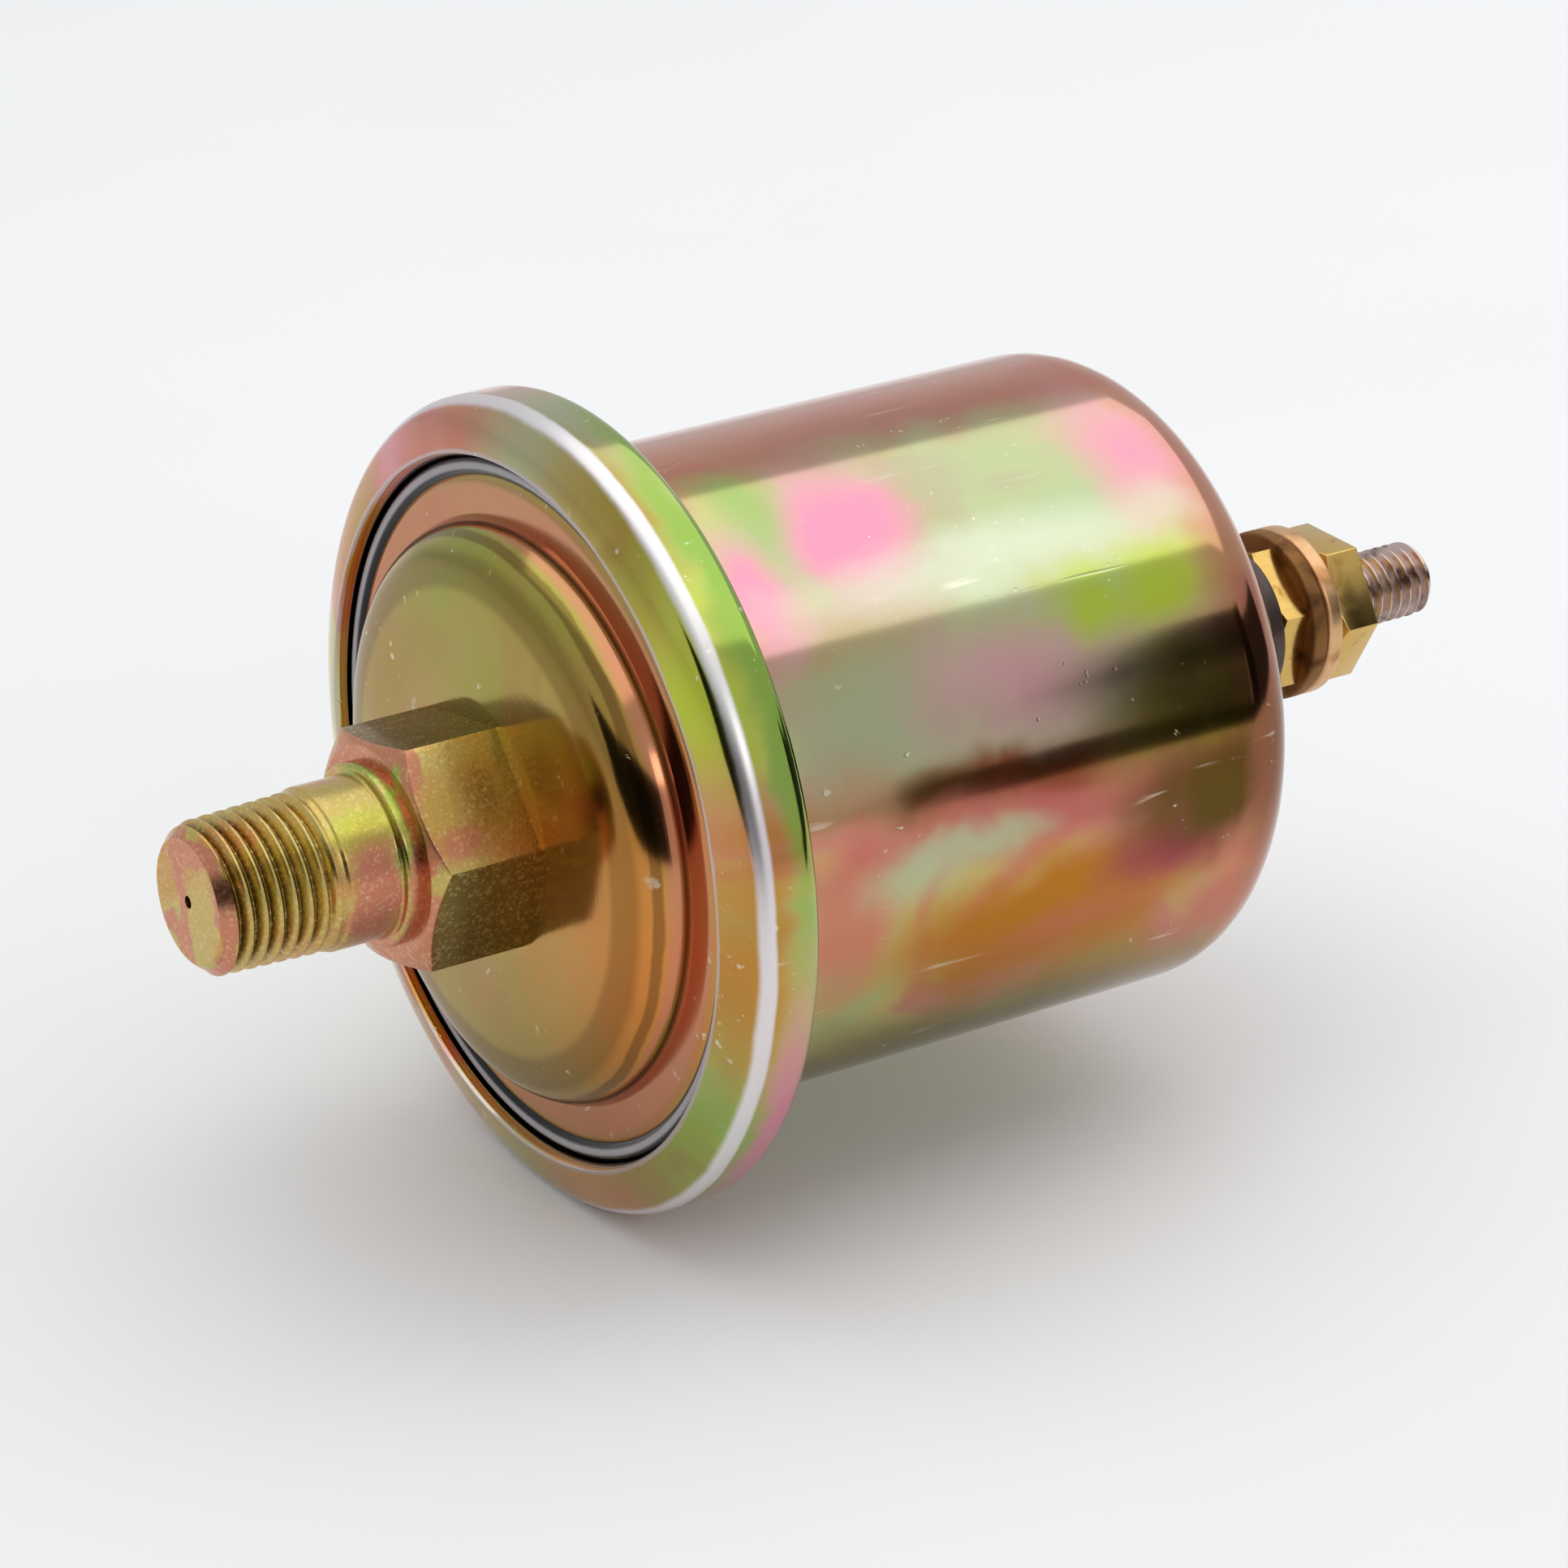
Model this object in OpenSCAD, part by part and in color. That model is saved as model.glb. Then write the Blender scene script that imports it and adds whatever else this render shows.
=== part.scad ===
// Oil pressure sender with a threaded port, a crimped drum housing and one stud terminal.
// The sender's axis is +X, from the port thread to the terminal stud.
// x = 0 is the front face of the fitting's hexagon, and +Z is up.
// A flexible diaphragm pushes a pin, the pin turns a lever, and the lever's wiper sweeps a
// wire-wound resistor whose live end is joined to the stud.

/* [Pressure fitting] */
// Width across the flats of the fitting's hexagon
hex_af = 14; // [12:0.5:17]
// Length of the hexagon along the axis
hex_len = 8; // [6:0.5:10]
// Chamfer on the hexagon's front corners, measured along the axis
hex_chamfer = 0.7; // [0.3:0.1:1.2]
// Turn of the hexagon about the axis, in degrees
hex_turn = 20; // [0:1:60]
// Diameter of the low collar in front of the hexagon
collar_d = 11.6; // [11.2:0.1:13]
// Length of that collar
collar_len = 1; // [0.6:0.1:1.6]
// Diameter of the plain neck behind the thread
neck_d = 10.3; // [10.1:0.1:11]
// Length of the plain neck
neck_len = 3.7; // [2:0.1:5]
// Length of the tapered thread
thread_len = 8.2; // [6:0.1:12]
// Thread diameter over the crests at its large end
thread_d = 10; // [9.6:0.1:10]
// Widening of the thread for each millimetre of its length
thread_taper = 0.0625; // [0.04:0.0025:0.08]
// Chamfer at the tip of the stem
tip_chamfer = 0.8; // [0.4:0.1:1.2]
// Diameter of the damping orifice in the end face
orifice_d = 0.8; // [0.5:0.1:1.2]
// Length of the damping orifice
orifice_len = 2; // [1:0.5:3]
// Diameter of the wide passage behind the orifice
passage_d = 3; // [2:0.5:4]
// Diameter of the spigot that passes through the dome
spigot_d = 8; // [6:0.5:9]
// Diameter of the lip staked over behind the dome
stake_d = 10; // [9.5:0.5:12]
// Thickness of the staked lip
stake_t = 0.8; // [0.5:0.1:1]

/* [Pressure plate] */
// Thickness of the domed plate
plate_t = 1; // [0.8:0.1:1.1]
// Diameter of the flat top of the dome
dome_top_d = 22; // [20:1:26]
// Fall from the middle of the dome to the edge of its top
dome_fall = 0.7; // [0.4:0.1:1]
// Radius of the dome's shoulder
shoulder_r = 3; // [2:0.25:3.5]
// Depth of the flat ring behind the middle of the dome
ring_drop = 3.9; // [3.5:0.1:5]
// Depth of the groove at the foot of the dome, behind the ring
foot_groove = 0.35; // [0.2:0.05:0.5]
// Width of that groove
foot_groove_w = 0.6; // [0.5:0.1:1.2]
// Width of the flat ring, from the dome's side to its outer edge
ring_w = 2.8; // [2.4:0.1:3.4]
// Depth of the clamped flange behind the flat ring
flange_drop = 0.7; // [0.4:0.1:1]

/* [Housing can] */
// Outer diameter of the drum
can_d = 41.6; // [40:0.2:44]
// Space in the drum between the resistor and the head of the stud
end_space = 5.6; // [5:0.2:12]
// Thickness of the sheet
can_t = 0.9; // [0.7:0.05:0.95]
// Outer radius of the rounded end
end_r = 4.25; // [2:0.25:5]
// Distance that the rolled rim stands out of the drum
rim_w = 5.2; // [4.8:0.1:6]
// Width of the folded lip, from the outside of the rim to the lip's inner edge
lip_w = 3.3; // [2.9:0.1:3.6]
// Distance that the lip's edge stands in front of the plate's flange
lip_stand = 2.6; // [2.4:0.1:3]
// Angle at which the lip falls back towards its outer edge
lip_angle = 22; // [15:1:26]
// Outer radius of the rim's front corner
rim_front_r = 1.4; // [1.1:0.1:1.5]
// Outer radius of the rim's back corner
rim_back_r = 1; // [0.95:0.05:1.2]
// Fillet between the drum and the rim
root_r = 1.2; // [0.8:0.1:1.6]

/* [Rim seal] */
// Width of the rubber bead inside the lip
bead_w = 1.7; // [1.4:0.1:1.8]
// Height of the bead above the plate's flange
bead_h = 1.7; // [1.4:0.1:2]
// Gap between the flat ring and the bead
bead_gap = 0.35; // [0.25:0.05:0.5]

/* [Diaphragm and carrier] */
// Thickness of the diaphragm
diaphragm_t = 0.25; // [0.15:0.05:0.35]
// Number of waves in the diaphragm
waves = 3; // [2:1:4]
// Height of each wave
wave_h = 0.5; // [0.3:0.1:0.7]
// Diameter of the diaphragm's flat middle
middle_d = 12; // [11:0.5:13]
// Width of the flat band between the waves and the dish's wall
waves_gap = 2; // [1.5:0.25:3]
// Thickness of the carrier plate behind the diaphragm
carrier_t = 0.75; // [0.6:0.05:0.9]
// Depth of the carrier's dish
dish_depth = 6.6; // [6:0.1:9]
// Gap between the dish's wall and the drum
dish_gap = 1.65; // [1.4:0.05:2]
// Travel of the push pin from no pressure to full pressure
travel = 1.4; // [1:0.1:1.6]

/* [Push pin] */
// Diameter of the push pin
pin_d = 3; // [2.4:0.1:3.4]
// Length of the push pin behind the button
pin_len = 11.5; // [11:0.5:15]
// Diameter of the nose that meets the lever
nose_d = 1.8; // [1.4:0.1:2]
// Length of that nose
nose_len = 3; // [2.6:0.2:3.6]
// Diameter of the button that rests on the diaphragm
button_d = 10; // [9:0.5:11]
// Thickness of the button
button_t = 1; // [0.8:0.1:1.2]
// Diameter of the guide bush
guide_d = 6; // [5:0.5:7]
// Length of the guide bush behind the carrier
guide_len = 3; // [2:0.5:3.5]
// Radial clearance of the pin in its guide
guide_gap = 0.05; // [0.02:0.01:0.08]
// Wire diameter of the return spring
spring_wire = 0.7; // [0.5:0.05:0.8]
// Mean diameter of the return spring
spring_d = 8; // [7.5:0.25:8.5]
// Number of turns of the return spring
spring_turns = 4; // [3:0.5:4.5]

/* [Lever and wiper] */
// Distance from the pivot to the middle of the heel
heel_arm = 2.8; // [2.6:0.1:3.2]
// Radius of the heel
heel_r = 0.8; // [0.6:0.05:0.9]
// Width of the heel
heel_w = 3; // [2:0.5:4]
// Gap left between the pin's tip and the heel
heel_gap = 0.1; // [0.08:0.01:0.15]
// Diameter of the pivot pin
pivot_d = 1.6; // [1.4:0.1:1.8]
// Radial clearance of the lever on its pivot pin
pivot_gap = 0.04; // [0.02:0.01:0.08]
// Outer diameter of the lever's hub
hub_d = 3; // [2.8:0.1:3.2]
// Length of the lever's hub
hub_len = 8.4; // [7:0.2:9]
// Distance from the pivot to the wiper contact
wiper_arm = 15; // [13:0.5:17]
// Thickness of the lever's sheet
lever_t = 0.8; // [0.6:0.1:1]
// Width of the lever's arm
lever_w = 3; // [2.4:0.2:3.4]
// Diameter of the wiper contact
contact_d = 1.2; // [1:0.1:1.4]
// Height of the wiper contact on its leaf
contact_h = 0.7; // [0.5:0.1:1]
// Thickness of the springy leaf
leaf_t = 0.25; // [0.2:0.05:0.3]
// Distance from the middle of the lever to the working face of the contact
contact_y = 3.2; // [3:0.1:3.4]
// Gap between the wiper contact and the winding
wiper_gap = 0.1; // [0.08:0.01:0.15]

/* [Resistor] */
// Width of the resistor former, measured outwards from the pivot
former_w = 4; // [3:0.2:4.4]
// Thickness of the former
former_t = 1; // [0.8:0.1:1.2]
// Half of the angle that the winding covers
winding_angle = 20; // [19:0.5:22]
// Angle of each bare tab at the ends of the former
tab_angle = 10; // [9:0.5:12]
// Build-up of the wire on each side of the former
wire_build = 0.3; // [0.2:0.05:0.4]
// Number of turns of wire
winding_turns = 28; // [12:1:40]
// Thickness of the insulating plate behind the former
insulator_t = 0.8; // [0.6:0.1:1]
// Diameter of the rivets' holes
rivet_d = 1.2; // [1:0.1:1.4]
// Thickness of the strip from the winding to the stud
strip_t = 0.4; // [0.3:0.05:0.5]
// Width of that strip
strip_w = 2.4; // [2:0.2:3]

/* [Movement frame] */
// Thickness of the frame's sheet
frame_t = 1; // [0.8:0.1:1.2]
// Height of the frame's cheeks across the axis
cheek_h = 11; // [10:0.5:13]
// Diameter of the screws that hold the frame
frame_screw_d = 2.5; // [2:0.5:3]
// Distance between the two frame screws
frame_screw_pitch = 19; // [18:0.5:20]

/* [Terminal] */
// Diameter of the stud over its thread
stud_d = 5; // [4:0.1:5.5]
// Height of the stud's thread above its shank
stud_thread = 0.25; // [0.2:0.05:0.35]
// Length of the stud that stands out of the outer nut
stud_out = 7; // [5:0.5:10]
// Width across the flats of the terminal nuts
nut_af = 9.1; // [8:0.1:10]
// Thickness of the thin inner nut
inner_nut_t = 2; // [1.5:0.1:3]
// Thickness of the outer nut
outer_nut_t = 3.2; // [2.4:0.1:4]
// Chamfer on the outer nut's corners, on its face towards the drum
nut_chamfer = 0.7; // [0.3:0.1:1]
// Turn of the inner nut about the axis, in degrees
inner_nut_turn = 10; // [0:1:60]
// Turn of the outer nut about the axis, in degrees
outer_nut_turn = 30; // [0:1:60]
// Diameter of the two washers
washer_d = 11.4; // [10:0.2:13]
// Thickness of the spring washer
spring_washer_t = 1.2; // [0.8:0.1:1.6]
// Thickness of the flat washer
flat_washer_t = 1.3; // [0.8:0.1:1.6]
// Height of the insulator between the drum and the inner nut
insulator_h = 10; // [8:0.5:12]
// Diameter of the insulator's upper part
insulator_d = 10.6; // [9:0.2:12]
// Diameter of the insulator's flange on the drum
insulator_flange_d = 17; // [14:0.5:22]
// Thickness of the insulator's flange
insulator_flange_t = 2.2; // [1.5:0.1:3]
// Diameter of the hole in the end of the drum
end_hole_d = 8; // [7.5:0.1:9]
// Thickness of the insulating washer inside the drum
inner_washer_t = 2; // [1.5:0.1:2.5]
// Thickness of the stud's head
head_t = 2; // [1.5:0.1:2.5]
// Width across the flats of the stud's head
head_af = 8; // [7:0.5:10]

/* [Hidden] */
$fn = 96;
slip = 0.05;              // radial clearance of a fastener or a spigot in its hole
seat_gap = 0.02;          // clearance between seated sloping faces
cut = 1;                  // how far a cut runs past the face it opens
edge = 0.25;              // small chamfer on turned edges
hex_clear = 0.4;          // how far the dome's flat middle reaches past the hexagon's corners

// Places along the axis, from the port to the push pin
x_tip = -(collar_len + neck_len + thread_len);
x_dome = hex_len;
x_ring = x_dome + ring_drop;
x_flange = x_ring + flange_drop;
x_diaphragm = x_flange + plate_t;
x_carrier = x_diaphragm + diaphragm_t;
x_rim_inside = x_carrier + carrier_t;
x_rim_back = x_rim_inside + can_t;
x_lip = x_flange - lip_stand;
x_floor = x_carrier + dish_depth;
x_frame = x_floor + carrier_t;
x_button = x_carrier + button_t;
x_pin_tip = x_button + pin_len;

// Radii: the rim from the drum, then inwards to the lip, the bead, the flat ring and the dome
can_r = can_d / 2;
rim_r = can_r + rim_w;
lip_r = rim_r - lip_w;
bead_r0 = lip_r - slip - bead_w;
ring_r = bead_r0 - bead_gap;
dome_r = ring_r - ring_w;
clamp_r = rim_r - can_t - 4 * slip;
dish_r = can_r - can_t - dish_gap - carrier_t;
waves_r = dish_r - waves_gap;
shank_r = stud_d / 2 - stud_thread;
thread_r = thread_d / 2;
tip_r = thread_r - thread_len * thread_taper / 2;

// Lever geometry: half of the sweep lies on each side of the level line
half_sweep = travel / heel_arm * 90 / PI;
pivot_x = x_pin_tip + heel_gap + heel_r + heel_arm * sin(half_sweep);
pivot_z = heel_arm;
former_y = contact_y + wiper_gap + wire_build;
insulator_y = former_y + former_t;
frame_y = insulator_y + insulator_t;
former_r0 = wiper_arm - former_w / 2;
former_r1 = wiper_arm + former_w / 2;
tab_mid = winding_angle + tab_angle * 0.6;
window_gap = 0.8;
y_leaf = contact_y - contact_h;
frame_top = pivot_x + former_r1 - former_w * 0.4;

// Places behind the movement, from the head of the stud to its free end
x_head = pivot_x + former_r1 + wire_build + end_space;
x_end_inside = x_head + head_t + inner_washer_t;
x_end = x_end_inside + can_t;
x_insulator = x_end + insulator_h;
x_spring_washer = x_insulator + inner_nut_t;
x_flat_washer = x_spring_washer + spring_washer_t;
x_outer_nut = x_flat_washer + flat_washer_t;
x_nut_end = x_outer_nut + outer_nut_t;
x_stud_end = x_nut_end + stud_out;

// Points of an arc about c, from angle a0 to angle a1
function arc(c, r, a0, a1, n = 6) =
    [for (i = [0:n]) c + r * [cos(a0 + (a1 - a0) * i / n), sin(a0 + (a1 - a0) * i / n)]];
// A line of points moved sideways by d, to its left
function beside(line, i, d) =
    let (a = line[max(i - 1, 0)], b = line[min(i + 1, len(line) - 1)], t = (b - a) / norm(b - a))
    line[i] + d * [-t[1], t[0]];
// Outline of a sheet of thickness t that lies to the left of a line
function sheet(line, t) = concat(line,
    [for (i = [len(line) - 1:-1:0]) beside(line, i, t)]);

// Turns an outline of [radius, x] points about the axis
module turned(points) {
    rotate([0, 90, 0]) rotate_extrude() polygon(points);
}
// A round bar along the axis from x0 to x1
module bar(x0, x1, d, y = 0, z = 0) {
    translate([x0, y, z]) rotate([0, 90, 0]) cylinder(h = x1 - x0, d = d);
}
// A hexagonal bar along the axis
module hex_bar(x0, x1, af, turn) {
    translate([x0, 0, 0]) rotate([0, 90, 0]) rotate([0, 0, turn])
        cylinder(h = x1 - x0, d = af / cos(30), $fn = 6);
}
// A round bar across the axis, along Y
module cross_bar(y0, y1, d, x, z) {
    translate([x, y0, z]) rotate([-90, 0, 0]) cylinder(h = y1 - y0, d = d);
}
// Turns its children about the lever's pivot, towards +Z for a positive angle
module about_pivot(angle) {
    translate([pivot_x, 0, pivot_z]) rotate([0, -angle, 0]) children();
}
// A plate along Y from y0 to y1, between two radii and two angles about the pivot
module sector(r0, r1, a0, a1, y0, y1) {
    about_pivot(0) translate([0, y1, 0]) rotate([90, 0, 0]) linear_extrude(y1 - y0)
        polygon(concat(arc([0, 0], r0, a0, a1, 10), arc([0, 0], r1, a1, a0, 10)));
}

// Hexagon with chamfered corners on its face at x, which looks towards -X
module chamfered_hex(x, t, af, turn, chamfer) {
    corner_r = af / 2 / cos(30);
    spare = 1;
    intersection() {
        hex_bar(x, x + t, af, turn);
        turned([[0, x], [corner_r - 2 * chamfer, x], [corner_r + 2 * spare, x + chamfer + spare],
            [corner_r + 2 * spare, x + t + spare], [0, x + t + spare]]);
    }
}

// Turned fitting: tapered stem, collar, hexagon, and a spigot staked behind the dome
module pressure_fitting() {
    stem_end = -collar_len - neck_len;
    x_back = x_dome + plate_t + stake_t;
    shaft = [[0, x_tip], [tip_r - tip_chamfer, x_tip], [tip_r, x_tip + tip_chamfer],
        [thread_r, stem_end], [neck_d / 2, stem_end + edge], [neck_d / 2, -collar_len],
        [collar_d / 2 - edge, -collar_len], [collar_d / 2, edge - collar_len],
        [collar_d / 2, cut], [spigot_d / 2 - slip, hex_len - cut],
        [spigot_d / 2 - slip, x_dome + plate_t],
        [stake_d / 2, x_dome + plate_t], [stake_d / 2 - stake_t / 2, x_back], [0, x_back]];
    color("goldenrod") difference() {
        union() {
            turned(shaft);
            chamfered_hex(0, hex_len, hex_af, hex_turn, hex_chamfer);
        }
        bar(x_tip + orifice_len, x_back + cut, passage_d);
        bar(x_tip - cut, x_tip + orifice_len + cut, orifice_d);
    }
}

// Pressed plate: dome, foot groove, flat ring, and the flange clamped in the rim
module pressure_plate() {
    crown_share = 0.35;
    steepest = -66;
    foot_angle = -6;
    shoulder_x = x_dome + dome_fall - shoulder_r * sin(steepest);
    foot_x = x_ring + foot_groove;
    front = concat([[spigot_d / 2, x_dome], [hex_af / 2 / cos(30) + hex_clear, x_dome]],
        [[dome_top_d / 2, x_dome + dome_fall * crown_share]],
        arc([dome_r - shoulder_r, shoulder_x], shoulder_r, steepest, foot_angle, 6),
        [[dome_r, foot_x], [dome_r + foot_groove_w / 2, foot_x],
        [dome_r + foot_groove_w, x_ring], [ring_r, x_ring],
        [ring_r + edge / 2, x_flange], [clamp_r, x_flange]]);
    color("darkkhaki") turned(sheet(front, plate_t));
}

// Moulded rubber seal: a skirt pinched under the folded lip, and a bead inside it
module rim_seal() {
    round_r = bead_w / 2;
    round_end = 350;
    slope = tan(lip_angle);
    under = can_t / cos(lip_angle) + seat_gap;
    skirt_r = clamp_r - edge;
    outline = concat([[bead_r0, x_flange]],
        arc([bead_r0 + round_r, x_flange - bead_h + round_r], round_r, 180, round_end, 10),
        [[lip_r + slip, x_lip + under + edge], [lip_r + edge, x_lip + edge * slope + under],
        [skirt_r, x_lip + (skirt_r - lip_r) * slope + under], [skirt_r, x_flange]]);
    color("dimgray") turned(outline);
}

// Drawn can: rounded end, drum, rim turned out and its edge folded over the clamped flange
module housing_can() {
    front_c = [rim_r - rim_front_r, x_lip + rim_front_r * cos(lip_angle)
        + (rim_r - rim_front_r + rim_front_r * sin(lip_angle) - lip_r) * tan(lip_angle)];
    outside = concat([[lip_r, x_lip]],
        arc(front_c, rim_front_r, lip_angle - 90, 0, 6),
        arc([rim_r - rim_back_r, x_rim_back - rim_back_r], rim_back_r, 0, 90, 6),
        arc([can_r + root_r, x_rim_back + root_r], root_r, 270, 180, 6),
        arc([can_r - end_r, x_end - end_r], end_r, 0, 90, 8),
        [[end_hole_d / 2, x_end]]);
    color("darkkhaki") turned(sheet(outside, can_t));
}

// Corrugated diaphragm, clamped between the pressure plate and the carrier
module diaphragm() {
    steps = waves * 8;
    r0 = middle_d / 2;
    r1 = waves_r;
    line = concat([[0, x_diaphragm]],
        [for (i = [0:steps]) [r0 + (r1 - r0) * i / steps,
            x_diaphragm + wave_h / 2 * (1 - cos(360 * waves * i / steps))]],
        [[clamp_r, x_diaphragm]]);
    moved = [for (i = [len(line) - 1:-1:0]) line[i] + [0, diaphragm_t]];
    color("silver") turned(concat(line, moved));
}

// Button that spreads the pin's load over the middle of the diaphragm
module diaphragm_button() {
    socket_r = pin_d / 2 + slip / 2;
    socket_depth = 0.4;
    edge_t = button_t * 0.6;
    color("silver") turned([[0, x_carrier], [button_d / 2, x_carrier],
        [button_d / 2, x_carrier + edge_t], [button_d / 2 - button_t + edge_t, x_button],
        [spring_d / 2 - spring_wire, x_button], [socket_r + 2 * socket_depth, x_button + socket_depth],
        [socket_r, x_button + socket_depth], [socket_r, x_button], [0, x_button]]);
}

// Push pin with a slimmer nose for the lever's heel
module push_pin() {
    r = pin_d / 2;
    nose_r = nose_d / 2;
    x_nose = x_pin_tip - nose_len;
    color("lightgray") turned([[0, x_button], [r, x_button], [r, x_nose],
        [nose_r, x_nose + r - nose_r], [nose_r, x_pin_tip - edge], [nose_r - edge, x_pin_tip],
        [0, x_pin_tip]]);
}

// Coil spring between the button and the carrier's floor, swept as a ring of points per step
module return_spring() {
    sides = 6;
    per_turn = 16;
    rings = spring_turns * per_turn;
    x0 = x_button + spring_wire / 2 + seat_gap;
    x1 = x_floor - spring_wire / 2 - seat_gap;
    points = [for (i = [0:rings], j = [0:sides - 1])
        let (a = 360 * i / per_turn, b = 360 * j / sides,
            r = spring_d / 2 + spring_wire / 2 * cos(b))
        [x0 + (x1 - x0) * i / rings + spring_wire / 2 * sin(b), r * cos(a), r * sin(a)]];
    walls = [for (i = [0:rings - 1], j = [0:sides - 1])
        let (k = (j + 1) % sides)
        [i * sides + j, i * sides + k, (i + 1) * sides + k, (i + 1) * sides + j]];
    ends = [[for (j = [sides - 1:-1:0]) j], [for (j = [0:sides - 1]) rings * sides + j]];
    color("gray") polyhedron(points, concat(walls, ends));
}

// Dished carrier plate, clamped in the rim, that holds the movement
module carrier_plate() {
    bend = 1.2;
    line = concat([[clamp_r, x_carrier]],
        arc([dish_r + bend, x_carrier + bend], bend, 270, 180, 5),
        arc([dish_r - bend, x_floor - bend], bend, 0, 90, 5),
        [[guide_d / 2, x_floor]]);
    back = [for (i = [len(line) - 1:-1:0]) beside(line, i, -carrier_t)];
    color("darkkhaki") difference() {
        turned(concat(line, back));
        for (s = [-1, 1])
            bar(x_floor - cut, x_frame + cut, frame_screw_d, 0, s * frame_screw_pitch / 2);
    }
}

// Flanged brass bush that guides the push pin
module guide_bush() {
    bore_r = pin_d / 2 + guide_gap;
    flange_r = spring_d / 2 - spring_wire;
    flange_t = 0.8;
    body_r = guide_d / 2 - slip / 2;
    color("gold") turned([[bore_r, x_floor - flange_t], [flange_r, x_floor - flange_t],
        [flange_r, x_floor], [body_r, x_floor], [body_r, x_frame + guide_len],
        [bore_r, x_frame + guide_len]]);
}

// Folded frame: a foot on the carrier, two cheeks for the pivot, one raised to hold the former
module movement_frame() {
    foot_h = frame_screw_pitch + frame_screw_d * 2.4;
    width = 2 * (frame_y + frame_t);
    cheek_end = pivot_x + hub_d;
    cheek_low = pivot_z - cheek_h / 2;
    arm_half = former_r1 * sin(winding_angle + tab_angle) + frame_t / 2;
    color("darkgray") difference() {
        union() {
            translate([x_frame, -width / 2, -foot_h / 2]) cube([frame_t, width, foot_h]);
            for (y = [-width / 2, frame_y])
                translate([x_frame, y, cheek_low]) cube([cheek_end - x_frame, frame_t, cheek_h]);
            translate([cheek_end - cut, frame_y, pivot_z - arm_half])
                cube([frame_top - cheek_end + cut, frame_t, 2 * arm_half]);
        }
        bar(x_frame - cut, x_frame + frame_t + cut, guide_d);
        for (s = [-1, 1])
            bar(x_frame - cut, x_frame + frame_t + cut, frame_screw_d, 0,
                s * frame_screw_pitch / 2);
        cross_bar(-width, width, pivot_d, pivot_x, pivot_z);
        for (s = [-1, 1])
            about_pivot(s * tab_mid) translate([wiper_arm, 0, 0])
                rotate([-90, 0, 0]) cylinder(h = width, d = rivet_d);
        // Window behind the winding, so that the wire touches no metal
        sector(former_r0 - window_gap, former_r1 + cut * 4, -winding_angle, winding_angle,
            frame_y - cut, frame_y + frame_t + cut);
    }
}

// Two cheese-head screws that hold the frame's foot to the carrier
module frame_screws() {
    head_d = frame_screw_d * 1.8;
    head_h = frame_screw_d * 0.6;
    tail = 0.8;
    slot_w = 0.6;
    x_foot = x_frame + frame_t;
    color("silver") for (s = [-1, 1]) {
        z = s * frame_screw_pitch / 2;
        difference() {
            union() {
                bar(x_floor - tail, x_foot + head_h / 2, frame_screw_d - slip, 0, z);
                bar(x_foot, x_foot + head_h, head_d, 0, z);
            }
            translate([x_foot + head_h / 2, -head_d, z - slot_w / 2])
                cube([head_h, 2 * head_d, slot_w]);
        }
    }
}

// Pivot pin with a head against one cheek and a riveted end against the other
module pivot_pin() {
    y_out = frame_y + frame_t;
    head_t = 0.8;
    head_w = 1.2;
    riveted_t = 0.5;
    riveted_w = 0.8;
    color("silver") {
        cross_bar(-y_out - riveted_t, y_out + riveted_t, pivot_d - slip / 2, pivot_x, pivot_z);
        cross_bar(-y_out - head_t, -y_out, pivot_d + head_w, pivot_x, pivot_z);
        cross_bar(y_out, y_out + riveted_t, pivot_d + riveted_w, pivot_x, pivot_z);
    }
}

// Lever: hub on the pivot, heel over the push pin, and the arm that carries the wiper
module lever() {
    color("darkgray") about_pivot(-half_sweep) difference() {
        union() {
            translate([0, -hub_len / 2, 0]) rotate([-90, 0, 0]) cylinder(h = hub_len, d = hub_d);
            translate([0, -heel_w / 2, -heel_arm]) rotate([-90, 0, 0])
                cylinder(h = heel_w, r = heel_r);
            translate([-heel_r * 0.2, -heel_w / 2, -heel_arm])
                cube([heel_r * 1.2, heel_w, heel_arm]);
            translate([0, -lever_t / 2, -lever_w / 2])
                cube([wiper_arm - lever_w / 2, lever_t, lever_w]);
        }
        translate([0, -hub_len, 0]) rotate([-90, 0, 0])
            cylinder(h = 2 * hub_len, r = pivot_d / 2 + pivot_gap - slip / 4);
    }
}

// Springy leaf riveted to the lever, bent out to the winding
module wiper_spring() {
    side = lever_t / 2;
    near = wiper_arm * 0.45;
    bend = wiper_arm * 0.7;
    outline = [[near, side], [bend - 0.2, side], [wiper_arm - 1, y_leaf - leaf_t],
        [wiper_arm + 1, y_leaf - leaf_t], [wiper_arm + 1, y_leaf], [wiper_arm - 1.1, y_leaf],
        [bend - 0.3, side + leaf_t], [near, side + leaf_t]];
    color("gold") about_pivot(-half_sweep) translate([0, 0, -lever_w / 3])
        linear_extrude(lever_w * 2 / 3) polygon(outline);
}

// Silver contact button on the end of the leaf
module wiper_contact() {
    color("silver") about_pivot(-half_sweep) translate([wiper_arm, y_leaf, 0])
        rotate([-90, 0, 0]) cylinder(h = contact_h, d1 = contact_d + 0.3, d2 = contact_d);
}

// Curved former that the resistance wire is wound on, with a bare tab at each end
module resistor_former() {
    span = winding_angle + tab_angle;
    color("saddlebrown") difference() {
        sector(former_r0, former_r1, -span, span, former_y, insulator_y);
        for (s = [-1, 1])
            about_pivot(s * tab_mid) translate([wiper_arm, 0, 0])
                rotate([-90, 0, 0]) cylinder(h = 2 * frame_y, d = rivet_d);
    }
}

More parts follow.
